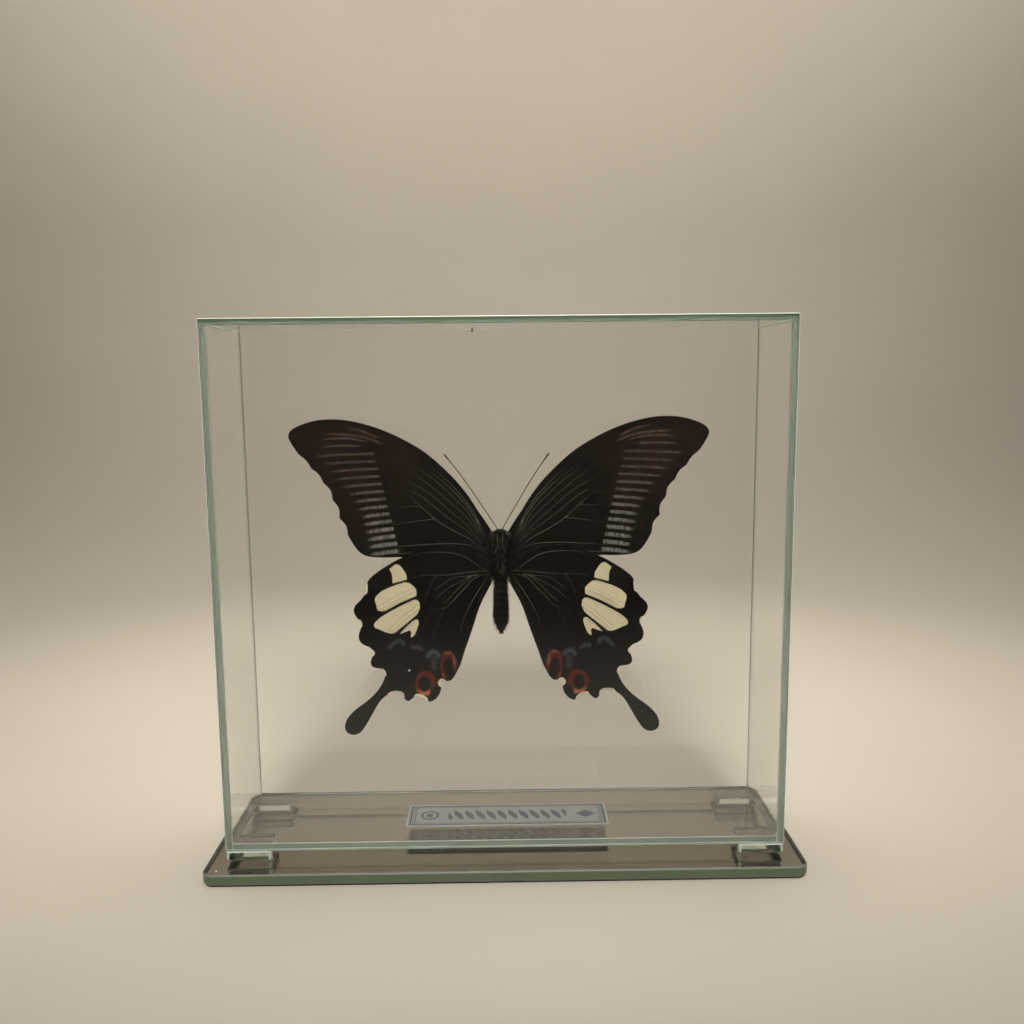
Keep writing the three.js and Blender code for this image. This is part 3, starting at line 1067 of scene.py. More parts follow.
def pale_share(from_root, fade):
    """How pale a vein or fold is, by its distance from the wing's root."""
    return (0.27 + 0.73 * ease(from_root, 5, 15)) * (1 - 0.95 * ease(from_root, *fade))


def wing_fields(points, kind, veins, folds, outline):
    """What the wing's finish reads at each point of its mesh."""
    line = np.full(len(points), 9.0)
    glow = np.zeros(len(points))
    from_root = np.hypot(points[:, 0], points[:, 1])
    runs = [(vein[0], VEIN_FADE[kind], 1.0) for vein in veins]
    runs += [(fold, FOLD_FADE[kind], 0.65) for fold in folds]
    for run, fade, level in runs:
        away, _ = near_line(points, smooth_line(run, 0.8))
        closer = away < line
        line[closer], glow[closer] = away[closer], level * pale_share(from_root[closer], fade)
    fields = {
        "line": line,
        "glow": glow,
        "edge": np.maximum(inside_depth(points, outline), 0),
        "streak": streak_field(points) if kind == "forewing" else np.zeros(len(points)),
        "patch": np.full(len(points), -9.0),
        "blue": np.zeros(len(points)),
    }
    if kind == "hindwing":
        fields["patch"] = np.max([inside_depth(points, patch) for patch in CREAM_PATCHES], 0)
        for run, half, level in CRESCENTS:
            away, _ = near_line(points, smooth_line(run, 0.3))
            fields["blue"] = np.maximum(fields["blue"], level * (1 - ease(away, half * 0.3, half * 1.5)))
    return fields


def wing_mesh(kind, settings):
    """Flat points, triangles and fields of a wing, with points along every vein and fold."""
    step = settings.grain / MM
    veins, folds = (FORE_VEINS, FORE_FOLDS) if kind == "forewing" else (HIND_VEINS, HIND_FOLDS)
    outline = wing_outline(f"{kind}_right")
    points, links = [Vector(p) for p in outline], []
    lines = [smooth_line(run, step) for run in [v[0] for v in veins] + folds]
    for line in lines:
        line = line[inside_depth(line, outline) > LINE_GAP]
        start = len(points)
        points += [Vector(p) for p in line]
        links += chain(start, len(line))
    low, high = outline.min(0), outline.max(0)
    rows = np.arange(low[1], high[1], step * ROW_PITCH)
    columns = np.arange(low[0], high[0], step)
    grid = np.array([(x + (k % 2) * step / 2, z) for k, z in enumerate(rows) for x in columns])
    grid = grid[inside_depth(grid, outline[::2]) > GRID_GAP]
    for line in lines:
        away, _ = near_line(grid, line[::2] if len(line) > 4 else line)
        grid = grid[away > step * 0.55]
    points += [Vector(p) for p in grid]
    ring = [(i, (i + 1) % len(outline)) for i in range(len(outline))]
    flat, _, faces, *_ = delaunay_2d_cdt(points, ring + links, [], 1, 1e-5)
    flat = np.array([tuple(p) for p in flat])
    faces = [f if turned(flat[list(f)]) > 0 else f[::-1] for f in (tuple(f) for f in faces)]
    return flat, faces, wing_fields(flat, kind, veins, folds, outline)


def turned(corners):
    """Above 0 where three corners run anticlockwise."""
    (ax, az), (bx, bz), (cx, cz) = corners[:3]
    return (bx - ax) * (cz - az) - (bz - az) * (cx - ax)


def wing_shell(flat, faces, fields, side, middle_y, settings):
    """A closed thin shell over a wing's flat mesh. Kinds of face: 0 underside and rim, 1 upperside."""
    x, z = flat[:, 0], flat[:, 1]
    thick = settings.margin / MM + (settings.membrane - settings.margin) / MM * ease(fields["edge"], 0, 1.2)
    ridge = 0.05 * np.exp(-((fields["line"] / 0.22) ** 2)) - 0.03 * (1 - ease(fields["line"], 0.2, 1.2))
    ridge += 0.09 * ease(fields["patch"], 0, 1.2) * (1 - ease(fields["line"], 0.1, 1.4))
    y = middle_y + stand(x, z, side)
    under, upper = y - thick / 2 - ridge, y + thick / 2 - ridge * 0.7
    points = np.vstack([mounted(x, under, z, side), mounted(x, upper, z, side)])
    count = len(flat)
    near = faces if side > 0 else [f[::-1] for f in faces]
    edges = {(f[i], f[(i + 1) % 3]) for f in near for i in range(3)}
    rim = [(b, a, a + count, b + count) for a, b in edges if (b, a) not in edges]
    rim.sort()
    far = [tuple(i + count for i in f[::-1]) for f in near]
    kinds = [0] * (len(near) + len(rim)) + [1] * len(far)
    return points, near + rim + far, kinds


def ellipse(finish, x, z, centre, radii):
    """How far a place lies from an ellipse's centre: 1 on the ellipse."""
    dx, dz = (x - centre[0]) / radii[0], (z - centre[1]) / radii[1]
    return finish.math("SQRT", dx * dx + dz * dz)


def wing_scales(finish):
    """Fine scales: a random number for each, and how far a place lies from its middle."""
    cells = finish.cells(5.5)
    random = finish.node("ShaderNodeSeparateColor", None, {0: cells.out("Color")})
    return random, cells


def underside_finish(settings):
    """Dark scales with the pale, cream, blue and red marks of the underside."""
    finish = Finish("wing_underside")
    out, up = abs(finish.x - AXIS_X), finish.z - THORAX_Z
    shimmer, scale = wing_scales(finish)
    mottle = finish.noise(0.35, 3)
    fine = finish.noise(2.6, 3, 0.65)
    ground = (*settings.ground, 1)
    colour = finish.blend(mottle * 0.5 + shimmer * 0.4, tone(10, 8, 7), ground)
    brown = finish.ease(finish.noise(0.12, 2), 0.4, 0.7) * 0.5 * finish.ease(out + up * 0.5, 14, 40)
    colour = finish.blend(brown + finish.ease(out + up * 0.6, 30, 62) * 0.5, colour, tone(40, 29, 25))
    # pale lines along the veins and folds
    line = finish.fade(finish.field("line"), 0.02, 0.14)
    line = line * finish.field("glow") * finish.ease(fine, 0.25, 0.6, 0.6, 1.0)
    colour = finish.blend(line, colour, tone(138, 132, 122))
    # dusting between the forewing's veins
    strength = finish.field("streak")
    ragged = finish.ease(strength + (fine - 0.5) * 0.5, 0.1, 0.5)
    ragged = ragged * finish.ease(strength, 0.0, 0.95, 0.4, 1.0)
    bars = finish.ease(finish.noise(2.2, 1, where=finish.stretched(1, 1, 0.25)), 0.35, 0.6, 0.35, 1.0)
    streak = ragged * bars * finish.ease(shimmer, 0.0, 0.5, 0.75, 1.05)
    dusting = finish.blend(finish.ease(up, 8, 30), (*settings.dusting, 1), tone(112, 94, 82))
    colour = finish.blend(streak, colour, dusting)
    # blue crescents
    blue = finish.field("blue") * finish.ease(shimmer + fine, 0.5, 1.1, 0.45, 1.0)
    colour = finish.blend(blue, colour, (*settings.blue, 1))
    # two ringed spots by the tail
    wobble = (finish.noise(0.9, 2) - 0.5) * 0.22
    rusty = finish.ease(finish.noise(1.3, 2), 0.3, 0.7)
    red = finish.blend(rusty, (*settings.red, 1), tone(78, 30, 24))
    rings = []
    for spot in RINGED_SPOTS:
        outer, core, gap = (ellipse(finish, out, up, *place) + wobble for place in spot)
        ring = finish.fade(outer, 0.9, 1.04) * finish.ease(core, 0.92, 1.1)
        rings.append(ring * finish.ease(gap, 0.8, 1.2))
    rings = finish.top(*rings)
    low_glow = finish.fade(up, -44.4, -42.4) * finish.ease(out, 21.5, 23.5)
    side_glow = finish.ease(out, 17.9, 18.8) * finish.fade(up, -38.8, -37.6) * finish.fade(out, 20, 20.4)
    pink = finish.ease(up, -32.2, -31.2) * finish.fade(out, 18.4, 19.4)
    red = finish.blend(finish.top(side_glow, low_glow), red, tone(190, 104, 66))
    inner_side = finish.fade(out, 15.1, 15.9) * finish.ease(up, -36.5, -34.5)
    red = finish.blend(finish.top(pink, inner_side) * 0.6, red, tone(160, 98, 82))
    colour = finish.blend(rings * finish.ease(shimmer, 0, 0.6, 0.75, 1.0), colour, red)
    # cream patch, crossed by dark veins
    patch = finish.ease(finish.field("patch") + (fine - 0.5) * 0.3, -0.03, 0.14)
    ray = finish.noise(1.1, 2, where=finish.stretched(0.35, 1, 1))
    cream = finish.blend(ray * 0.5 + shimmer * 0.2, (*settings.cream, 1), tone(214, 200, 162))
    # painted shade in a band beside each vein and fold, and a painted highlight along it, give the patch's
    # creases their look
    shadow = finish.ease(finish.field("line"), 0.15, 0.3) * finish.fade(finish.field("line"), 0.4, 1.1)
    cream = finish.blend(shadow * 0.5, cream, tone(206, 190, 150))
    painted_crease_highlight = finish.fade(finish.field("line"), 0.04, 0.3)
    cream = finish.blend(painted_crease_highlight * 0.5, cream, tone(255, 250, 230))
    colour = finish.blend(patch, colour, cream)
    # the margin where it is pale
    reach = finish.field("pale") * 1.15
    pale_rim = finish.fade(finish.field("edge") - reach + wobble * 0.6, -0.2, 0.0)
    colour = finish.blend(pale_rim, colour, tone(240, 228, 204))
    height = scale * 0.6 + fine * 0.5
    return finish.shade(Base_Color=colour, Roughness=finish.ease(shimmer, 0, 1, 0.62, 0.85),
                        Specular_IOR_Level=0.02, Normal=finish.bump(height, 0.05, 0.3))


def upperside_finish():
    """The plainer scales of the upperside."""
    finish = Finish("wing_upperside")
    out, up = abs(finish.x - AXIS_X), finish.z - THORAX_Z
    shimmer, scale = wing_scales(finish)
    fine = finish.noise(2.6, 3, 0.65)
    colour = finish.blend(finish.noise(0.3, 3), tone(20, 18, 19), tone(42, 38, 38))
    dusting = finish.ease(finish.noise(0.5, 4, 0.7) + shimmer * 0.4, 0.62, 1.0)
    low_half = finish.fade(up, -30, -8)
    colour = finish.blend(dusting * low_half, colour, tone(70, 88, 106))
    between = finish.ease(finish.field("line"), 0.35, 1.3) * finish.ease(fine, 0.35, 0.6, 0.4, 1.0)
    colour = finish.blend(between * 0.4, colour, tone(66, 62, 62))
    streak = finish.field("streak") * finish.ease(fine, 0.3, 0.65) * 0.8
    colour = finish.blend(streak, colour, tone(116, 112, 108))
    line = finish.fade(finish.field("line"), 0.08, 0.4) * 0.8
    colour = finish.blend(line, colour, tone(9, 8, 8))
    spot = ellipse(finish, out, up, (17.2, -36.6), (2.4, 3.6))
    ring = finish.fade(spot, 0.86, 1.04) * finish.ease(spot, 0.5, 0.62)
    colour = finish.blend(ring, colour, tone(140, 44, 30))
    patch = finish.ease(finish.field("patch") + (fine - 0.5) * 0.3, -0.03, 0.14)
    colour = finish.blend(patch, colour, finish.blend(shimmer, tone(226, 214, 178), tone(240, 230, 200)))
    height = scale * 0.6 + fine * 0.5
    return finish.shade(Base_Color=colour, Roughness=finish.ease(shimmer, 0, 1, 0.55, 0.8),
                        Specular_IOR_Level=0.03, Normal=finish.bump(height, 0.05, 0.3))


def wing_y(kind):
    """Where a wing's middle plane stands, in millimetres from the case's middle."""
    low, high = node_box(f"{kind}_right")
    return (low[1] + high[1]) / 2


class SPECIMEN_OT_wings(bpy.types.Operator):
    """Make the four wings as thin shells, with their patterns"""

    bl_idname = "specimen.wings"
    bl_label = "Wings"

    def execute(self, context):
        settings = context.scene.specimen_wings
        materials = [underside_finish(settings), upperside_finish()]
        for kind in ("forewing", "hindwing"):
            flat, faces, fields = wing_mesh(kind, settings)
            fields["pale"] = pale_field(flat, kind)
            double = {key: np.tile(values, 2) for key, values in fields.items()}
            for name, side in SIDES.items():
                points, shell, kinds = wing_shell(flat, faces, fields, side, wing_y(kind), settings)
                piece = make_piece(f"{kind}_{name}_membrane", points, shell, materials, kinds,
                                   fields=double)
                settle(piece, "wing_scales", f"{kind}_{name}")
        return {"FINISHED"}


def tube_tree(name, sides):
    """Tubes along lines whose points carry a radius."""
    tree = Grower(name, Thickness=1.0, Sides=sides)
    curve = tree.node("GeometryNodeMeshToCurve", None, {0: tree.source})
    return tree.end(tree.tube(curve, tree.named("girth") * tree.given("Thickness")))


def line_seeds(name, lines):
    """Seeds for tubes, from lines of (points, radii, tones)."""
    points, links, girth, shade = [], [], [], []
    for line, radii, tones in lines:
        start = len(points)
        points += [tuple(p) for p in line]
        links += chain(start, len(line))
        girth += [r * MM for r in radii]
        shade += list(tones)
    return make_seeds(name, points, links, girth=girth, shade=shade)


def vein_finish(settings):
    """Veins, from pale to the wing's own colour."""
    finish = Finish("vein_horn")
    fine = finish.noise(3, 3, 0.6)
    shade = finish.field("shade") * finish.ease(fine, 0.2, 0.7, 0.6, 1.0)
    colour = finish.blend(shade, (*settings.ground, 1), tone(130, 125, 116))
    return finish.shade(Base_Color=colour, Roughness=0.6, Specular_IOR_Level=0.04,
                        Normal=finish.bump(fine, 0.03, 0.5))


class SPECIMEN_OT_veins(bpy.types.Operator):
    """Make the raised veins along both faces of the wings"""

    bl_idname = "specimen.veins"
    bl_label = "Veins"

    def execute(self, context):
        settings = context.scene.specimen_wings
        material = vein_finish(settings)
        main = settings.vein / MM
        membrane = settings.membrane / MM
        for kind, veins in (("forewing", FORE_VEINS), ("hindwing", HIND_VEINS)):
            outline = wing_outline(f"{kind}_right")
            for name, side in SIDES.items():
                lines = []
                for run, first, last in veins:
                    flat = smooth_line(run, 0.7)
                    flat = flat[inside_depth(flat, outline) > 0.3]
                    along = np.linspace(0, 1, len(flat))
                    radii = main * (first + (last - first) * along)
                    shade = pale_share(np.hypot(flat[:, 0], flat[:, 1]), VEIN_FADE[kind])
                    y = wing_y(kind) + stand(flat[:, 0], flat[:, 1], side)
                    for face, level in ((-1, 1.0), (1, 0.15)):
                        lift = y + face * (membrane / 2 - radii * 0.1)
                        line = mounted(flat[:, 0], lift, flat[:, 1], side)
                        lines.append((line, radii, shade * level))
                seeds = line_seeds(f"{kind}_{name}_vein_lines", lines)
                piece = tube_tree("vein_tubes", 6).grow(f"{kind}_{name}_veins", seeds, material)
                settle(piece, "wing_scales")
        return {"FINISHED"}


def bristle_tree(name, length, width, wander, bend, seed, scatter=0.0):
    """Tapered bristles on points, or scattered over a skin, each along its point's own aim."""
    tree = Grower(name, Length=length, Width=width, Wander=wander, Bend=bend, Seed=seed, Density=scatter)
    points = tree.source
    if scatter:
        points = tree.node("GeometryNodeDistributePointsOnFaces", {"distribute_method": "RANDOM"}, {
            "Mesh": tree.source, "Density": tree.named("coat") * tree.given("Density"),
            "Seed": tree.given("Seed")})
    cone = tree.node("GeometryNodeMeshCone", {"fill_type": "NGON"}, {
        "Vertices": 3, "Side Segments": 3, "Radius Top": tree.given("Width") * 0.08,
        "Radius Bottom": tree.given("Width"), "Depth": tree.given("Length")})
    height = tree.node("ShaderNodeSeparateXYZ", None, {0: tree.node("GeometryNodeInputPosition")}).out("Z")
    cone = tree.node("GeometryNodeStoreNamedAttribute", {"data_type": "FLOAT", "domain": "POINT"}, {
        "Geometry": cone, "Name": "along", "Value": height / tree.given("Length")})
    aim = tree.named("aim", "FLOAT_VECTOR")
    stray = tree.random((-1, -1, -1), (1, 1, 1), tree.given("Seed") + 3, "FLOAT_VECTOR")
    aim = tree.vector("ADD", aim, tree.scale(stray, tree.given("Wander")))
    turn = tree.node("FunctionNodeAlignRotationToVector", {"axis": "Z"}, {"Vector": aim})
    size = tree.named("size") * tree.random(0.55, 1.0, tree.given("Seed") + 5)
    made = tree.node("GeometryNodeInstanceOnPoints", None, {
        "Points": points, "Instance": cone, "Rotation": turn, "Scale": size})
    made = tree.node("GeometryNodeRealizeInstances", None, {0: made})
    curl = tree.named("curl", "FLOAT_VECTOR")
    push = tree.named("along") * tree.named("along") * tree.given("Bend")
    made = tree.node("GeometryNodeSetPosition", None, {"Geometry": made, "Offset": tree.scale(curl, push)})
    return tree.end(made)


def fringe_finish():
    """Scales of the margin, dark or pale."""
    finish = Finish("fringe_scales")
    fine = finish.noise(2, 2)
    colour = finish.blend(fine, tone(14, 12, 11), tone(28, 24, 22))
    colour = finish.blend(finish.field("pale"), colour, tone(220, 208, 178))
    return finish.shade(Base_Color=colour, Roughness=0.75, Specular_IOR_Level=0.04,
                        Normal=finish.bump(fine, 0.02, 0.4))


class SPECIMEN_OT_fringe(bpy.types.Operator):
    """Make the fringe of narrow scales along the wings' outer margins"""

    bl_idname = "specimen.fringe"
    bl_label = "Fringe"

    def execute(self, context):
        settings = context.scene.specimen_wings
        material = fringe_finish()
        for kind in ("forewing", "hindwing"):
            outline = wing_outline(f"{kind}_right")
            line = smooth_line(outline, 0.11, closed=True)
            ahead = np.roll(line, -2, 0) - np.roll(line, 2, 0)
            outwards = np.column_stack([ahead[:, 1], -ahead[:, 0]])
            outwards /= np.linalg.norm(outwards, axis=1)[:, None]
            keep = line[:, 0] > 8
            if kind == "forewing":
                keep &= (line[:, 1] < 37) & (line[:, 0] > 40)
            line, outwards = line[keep], outwards[keep]
            pale = pale_field(line, kind)
            rooted = line - 0.12 * outwards
            for name, side in SIDES.items():
                y = wing_y(kind) + stand(line[:, 0], line[:, 1], side)
                start = mounted(rooted[:, 0], y, rooted[:, 1], side)
                aim = np.column_stack([side * outwards[:, 0], 0 * y, outwards[:, 1]])
                size = 0.55 + 0.5 * pale
                seeds = make_seeds("fringe_points", start, aim=aim, size=size, curl=0 * aim, pale=pale)
                tree = bristle_tree("fringe", settings.fringe, 0.05 * MM, 0.32, 0.0, 11 + side)
                settle(tree.grow(f"{kind}_{name}_fringe", seeds, material), "wing_scales")
        return {"FINISHED"}


# ---------------------------------------------------------------- body
# height from mid-thorax, half width, half depth, and how far the middle is pushed to the belly side
TORSO = [
    (-8.4, 1.5, 1.6, 0.0), (-7.9, 2.1, 2.2, 0.0), (-7.2, 2.45, 2.6, 0.0), (-6.2, 2.8, 3.0, 0.05),
    (-4.6, 3.05, 3.35, 0.1), (-3, 3.18, 3.5, 0.1), (-1, 3.2, 3.65, 0.1), (1, 3.18, 3.6, 0.1),
    (2.6, 3.0, 3.4, 0.05), (4, 2.7, 3.0, 0.0), (4.7, 2.35, 2.4, 0.0), (5.1, 2.1, 2.1, 0.0),
    (5.6, 2.2, 2.15, 0.0), (6.2, 2.3, 2.2, 0.0),
    (6.9, 2.15, 2.0, 0.0), (7.4, 1.8, 1.6, 0.0), (7.8, 1.3, 1.1, 0.0), (8.05, 0.6, 0.5, 0.0),
]
WAIST = -7.2
RING_PITCH = 2.15  # from one ring of the abdomen to the next
# height, half width and half depth
ABDOMEN = [(WAIST, 1.8, 1.9), (-8.6, 2.0, 2.1), (-11, 2.1, 2.25), (-14.5, 2.2, 2.3), (-18, 2.35, 2.3),
           (-20.4, 2.35, 2.15), (-22, 1.85, 1.75), (-23.6, 1.2, 1.2), (-25.2, 0.5, 0.5)]
# height, half width, half depth and push to the belly side
PALP = [(3.9, 0.3, 0.3, 2.2), (4.3, 0.52, 0.5, 2.5), (5.2, 0.6, 0.55, 2.6), (5.9, 0.5, 0.5, 2.45),
        (6.4, 0.32, 0.34, 2.2), (6.7, 0.12, 0.12, 2.05)]
PALP_OUT = 0.82  # from the axis to the middle of a palp
EYE, EYE_RADII, EYE_TILT = (2.15, -0.5, 6.2), (1.25, 1.5, 1.5), 0.35
HIPS = (3.2, 0.6, -2.0)  # heights of the three pairs
TONGUE_COILS, TONGUE_SIZE, TONGUE_HEIGHT = 2.6, 0.85, 4.9
ANTENNA = [(0.35, -0.2, 7.2), (0.9, 0, 8.3), (5.6, 0, 16), (11, 0, 24.5), (16.2, 0, 31.6)]
ANTENNA_REACH = {"left": 1.05, "right": 0.95}  # how far each leans out, as a share of that line


def oval_rings(stations, sides, middle=AXIS_X):
    """Level oval rings at stations of height, half width, half depth and push to the belly side."""
    turns = circle(sides)
    return [np.column_stack([middle + w * np.cos(turns), d * np.sin(turns) - push,
                             np.full(sides, THORAX_Z + z)]) for z, w, d, push in stations]


def torso_parts(sides):
    """The thorax and head as one skin."""
    stations = smooth_line(TORSO, 0.35)
    rings = oval_rings(stations, sides)
    for ring in rings:  # plates of the thorax: shallow grooves down its sides
        z = ring[0, 2] - THORAX_Z
        angle = np.arctan2(ring[:, 1], ring[:, 0] - AXIS_X)
        groove = 0.06 * np.cos(5 * angle) * ease(z, -7, -4) * (1 - ease(z, 2.5, 4.5))
        ring[:, 0] += (ring[:, 0] - AXIS_X) * groove
        ring[:, 1] += ring[:, 1] * groove
    return loft(rings)


def abdomen_parts(sides):
    """The abdomen, whose rings each overlap the next."""
    stations = []
    for z, w, d in smooth_line(ABDOMEN, 0.22):
        part = ((WAIST - z) / RING_PITCH) % 1.0
        swell = 0.06 * ease(part, 0.3, 0.9) * (1 - ease(part, 0.93, 1.0))
        pinch = 1 + swell - 0.07 * (1 - ease(part, 0, 0.25))
        stations.append((z, w * pinch, d * pinch, 0.0))
    rings = oval_rings(stations, sides)
    for ring in rings:  # the dried skin is a little dented
        angle = np.arctan2(ring[:, 1], ring[:, 0] - AXIS_X)
        z = ring[0, 2]
        dent = 1 + 0.035 * (np.sin(3 * angle + 0.9 * z) + np.sin(7 * angle - 1.7 * z))
        ring[:, 0] = AXIS_X + (ring[:, 0] - AXIS_X) * dent
        ring[:, 1] *= dent
    return loft(rings)


def ball_parts(centre, radii, sides, tilt):
    """A ball of three radii, tilted to the side."""
    levels = np.linspace(-math.pi / 2, math.pi / 2, sides // 2 + 1)
    turns = circle(sides)
    turn = np.array([[math.cos(tilt), -math.sin(tilt)], [math.sin(tilt), math.cos(tilt)]])
    rings = []
    for level in np.clip(levels, -1.5, 1.5):
        wide = math.cos(level)
        ring = np.column_stack([radii[0] * wide * np.cos(turns), radii[1] * wide * np.sin(turns),
                                np.full(sides, radii[2] * math.sin(level))])
        ring[:, [0, 2]] = ring[:, [0, 2]] @ turn.T
        rings.append(ring + np.array([AXIS_X + centre[0], centre[1], THORAX_Z + centre[2]]))
    return loft(rings)


def chitin_finish(settings):
    """Dark hard skin, with a lighter band on each ring of the abdomen."""
    finish = Finish("dark_chitin")
    up = finish.z - THORAX_Z
    fine, mottle = finish.noise(3.2, 4, 0.65), finish.noise(0.7, 3)
    colour = finish.blend(mottle, tone(12, 10, 8), (*settings.chitin, 1))
    colour = finish.blend(finish.ease(fine, 0.5, 0.75) * 0.5, colour, tone(46, 40, 32))
    part = finish.math("FRACT", (WAIST - up) / RING_PITCH)
    band = finish.ease(part, 0.55, 0.9) * finish.fade(up, -9, -7.5)
    colour = finish.blend(band * 0.5, colour, tone(56, 44, 34))
    tip = finish.fade(up, -24.8, -22.4)
    colour = finish.blend(tip * 0.8, colour, tone(70, 38, 30))
    return finish.shade(Base_Color=colour, Roughness=finish.ease(fine, 0.2, 0.8, 0.45, 0.75),
                        Specular_IOR_Level=0.06, Normal=finish.bump(fine, 0.12, 0.6))


def eye_finish():
    """Dark eyes with fine facets."""
    finish = Finish("compound_eye")
    facets = finish.cells(9, randomness=0.25)
    colour = finish.blend(finish.noise(0.8, 2), tone(20, 16, 12), tone(42, 32, 22))
    return finish.shade(Base_Color=colour, Roughness=0.3, Specular_IOR_Level=0.2, Coat_Weight=0.1,
                        Normal=finish.bump(facets, 0.03, 0.5))


def palp_finish():
    """Dark palps with a painted highlight: a pale stripe down each."""
    finish = Finish("palp_scales")
    fine = finish.noise(4, 3, 0.7)
    # the pale stripe down the middle of each palp is a painted highlight
    dark = finish.ease(abs(abs(finish.x - AXIS_X) - 0.8) + fine * 0.1, 0.08, 0.26)
    colour = finish.blend(fine, tone(58, 56, 48), tone(100, 96, 84))
    colour = finish.blend(dark, colour, tone(18, 16, 14))
    return finish.shade(Base_Color=colour, Roughness=0.8, Normal=finish.bump(fine, 0.1, 0.8))


class SPECIMEN_OT_body(bpy.types.Operator):
    """Make the head, thorax, abdomen, eyes and palps"""

    bl_idname = "specimen.body"
    bl_label = "Body"

    def execute(self, context):
        settings = context.scene.specimen_body
        skin = gather([torso_parts(settings.sides), abdomen_parts(settings.sides)])
        closed_piece("thorax_and_abdomen", skin, chitin_finish(settings), "insect_body", "body")
        out, across, up = EYE
        eyes = [ball_parts((side * out, across, up), EYE_RADII, 24, side * EYE_TILT) for side in (-1, 1)]
        closed_piece("eyes", gather(eyes), eye_finish(), "insect_body")
        palps = [loft(oval_rings(smooth_line(PALP, 0.2), 14, AXIS_X + side * PALP_OUT)) for side in (-1, 1)]
        closed_piece("palps", gather(palps), palp_finish(), "insect_body")
        return {"FINISHED"}


def limb(points, radii):
    """One part of a limb: its line, its radii and how far along it each point lies."""
    line = smooth_line(points, 0.22)
    _, along = near_line(line, np.asarray(points, float))
    marks = np.linspace(0, 1, len(radii))
    return np.asarray(line) + (AXIS_X, 0, THORAX_Z), np.interp(along, marks, radii), along


class SPECIMEN_OT_legs(bpy.types.Operator):
    """Make the six folded legs, the coiled tongue and the claspers"""

    bl_idname = "specimen.legs"
    bl_label = "Legs and tongue"

    def execute(self, context):
        lines = []
        for side in (-1, 1):
            for k, top in enumerate(HIPS):
                hip = (side * 0.55, -3.35 - 0.05 * k, top)
                knee = (side * (1.75 - 0.2 * k), -4.25, top - 2.1)
                shin = (side * (0.55 + 0.15 * k), -4.7, top + 0.9)
                heel = (side * (0.2 + 0.2 * k), -4.9, top - 1.9)
                toe = (side * (0.45 + 0.25 * k), -4.45, top - 3.6)
                lines.append(limb([hip, knee], [0.38, 0.36, 0.28, 0.2]))
                lines.append(limb([knee, shin], [0.19, 0.16, 0.15, 0.17]))
                lines.append(limb([shin, heel, toe], [0.15, 0.12, 0.13, 0.1, 0.11, 0.07]))
            clasper = [(side * 0.35, -0.1, -24.9), (side * 0.6, -0.15, -25.3), (side * 0.42, -0.2, -25.58)]
            lines.append(limb(clasper, [0.3, 0.22, 0.06]))
        turns = np.linspace(0, TONGUE_COILS * 2 * math.pi, 70)
        size = TONGUE_SIZE * (1 - turns / turns[-1] * 0.8)
        coil = np.column_stack([0.02 * np.sin(turns), -2.75 - size * np.cos(turns),
                                TONGUE_HEIGHT + size * np.sin(turns)])
        lines.append(limb([tuple(p) for p in coil], [0.14, 0.12, 0.09, 0.05]))
        finish = Finish("leg_horn")
        fine = finish.noise(4, 3)
        colour = finish.blend(fine, tone(14, 15, 12), tone(38, 40, 32))
        finish.shade(Base_Color=colour, Roughness=0.28, Normal=finish.bump(fine, 0.04, 0.6))
        seeds = line_seeds("leg_lines", lines)
        settle(tube_tree("leg_tubes", 8).grow("legs_and_tongue", seeds, finish.material), "insect_body")
        return {"FINISHED"}


def fur_finish(settings):
    """Hair that lightens towards its tip."""
    finish = Finish("body_fur")
    along = finish.field("along")
    fleck = finish.noise(0.9, 2)
    colour = finish.blend(finish.ease(fleck, 0.4, 0.62), tone(15, 12, 10), (*settings.fur, 1))
    colour = finish.blend(finish.field("light"), colour, tone(150, 140, 122))
    colour = finish.blend(along * 0.3, colour, tone(62, 53, 44))
    return finish.shade(Base_Color=colour, Roughness=finish.ease(along, 0, 1, 0.7, 0.55),
                        Specular_IOR_Level=0.03)


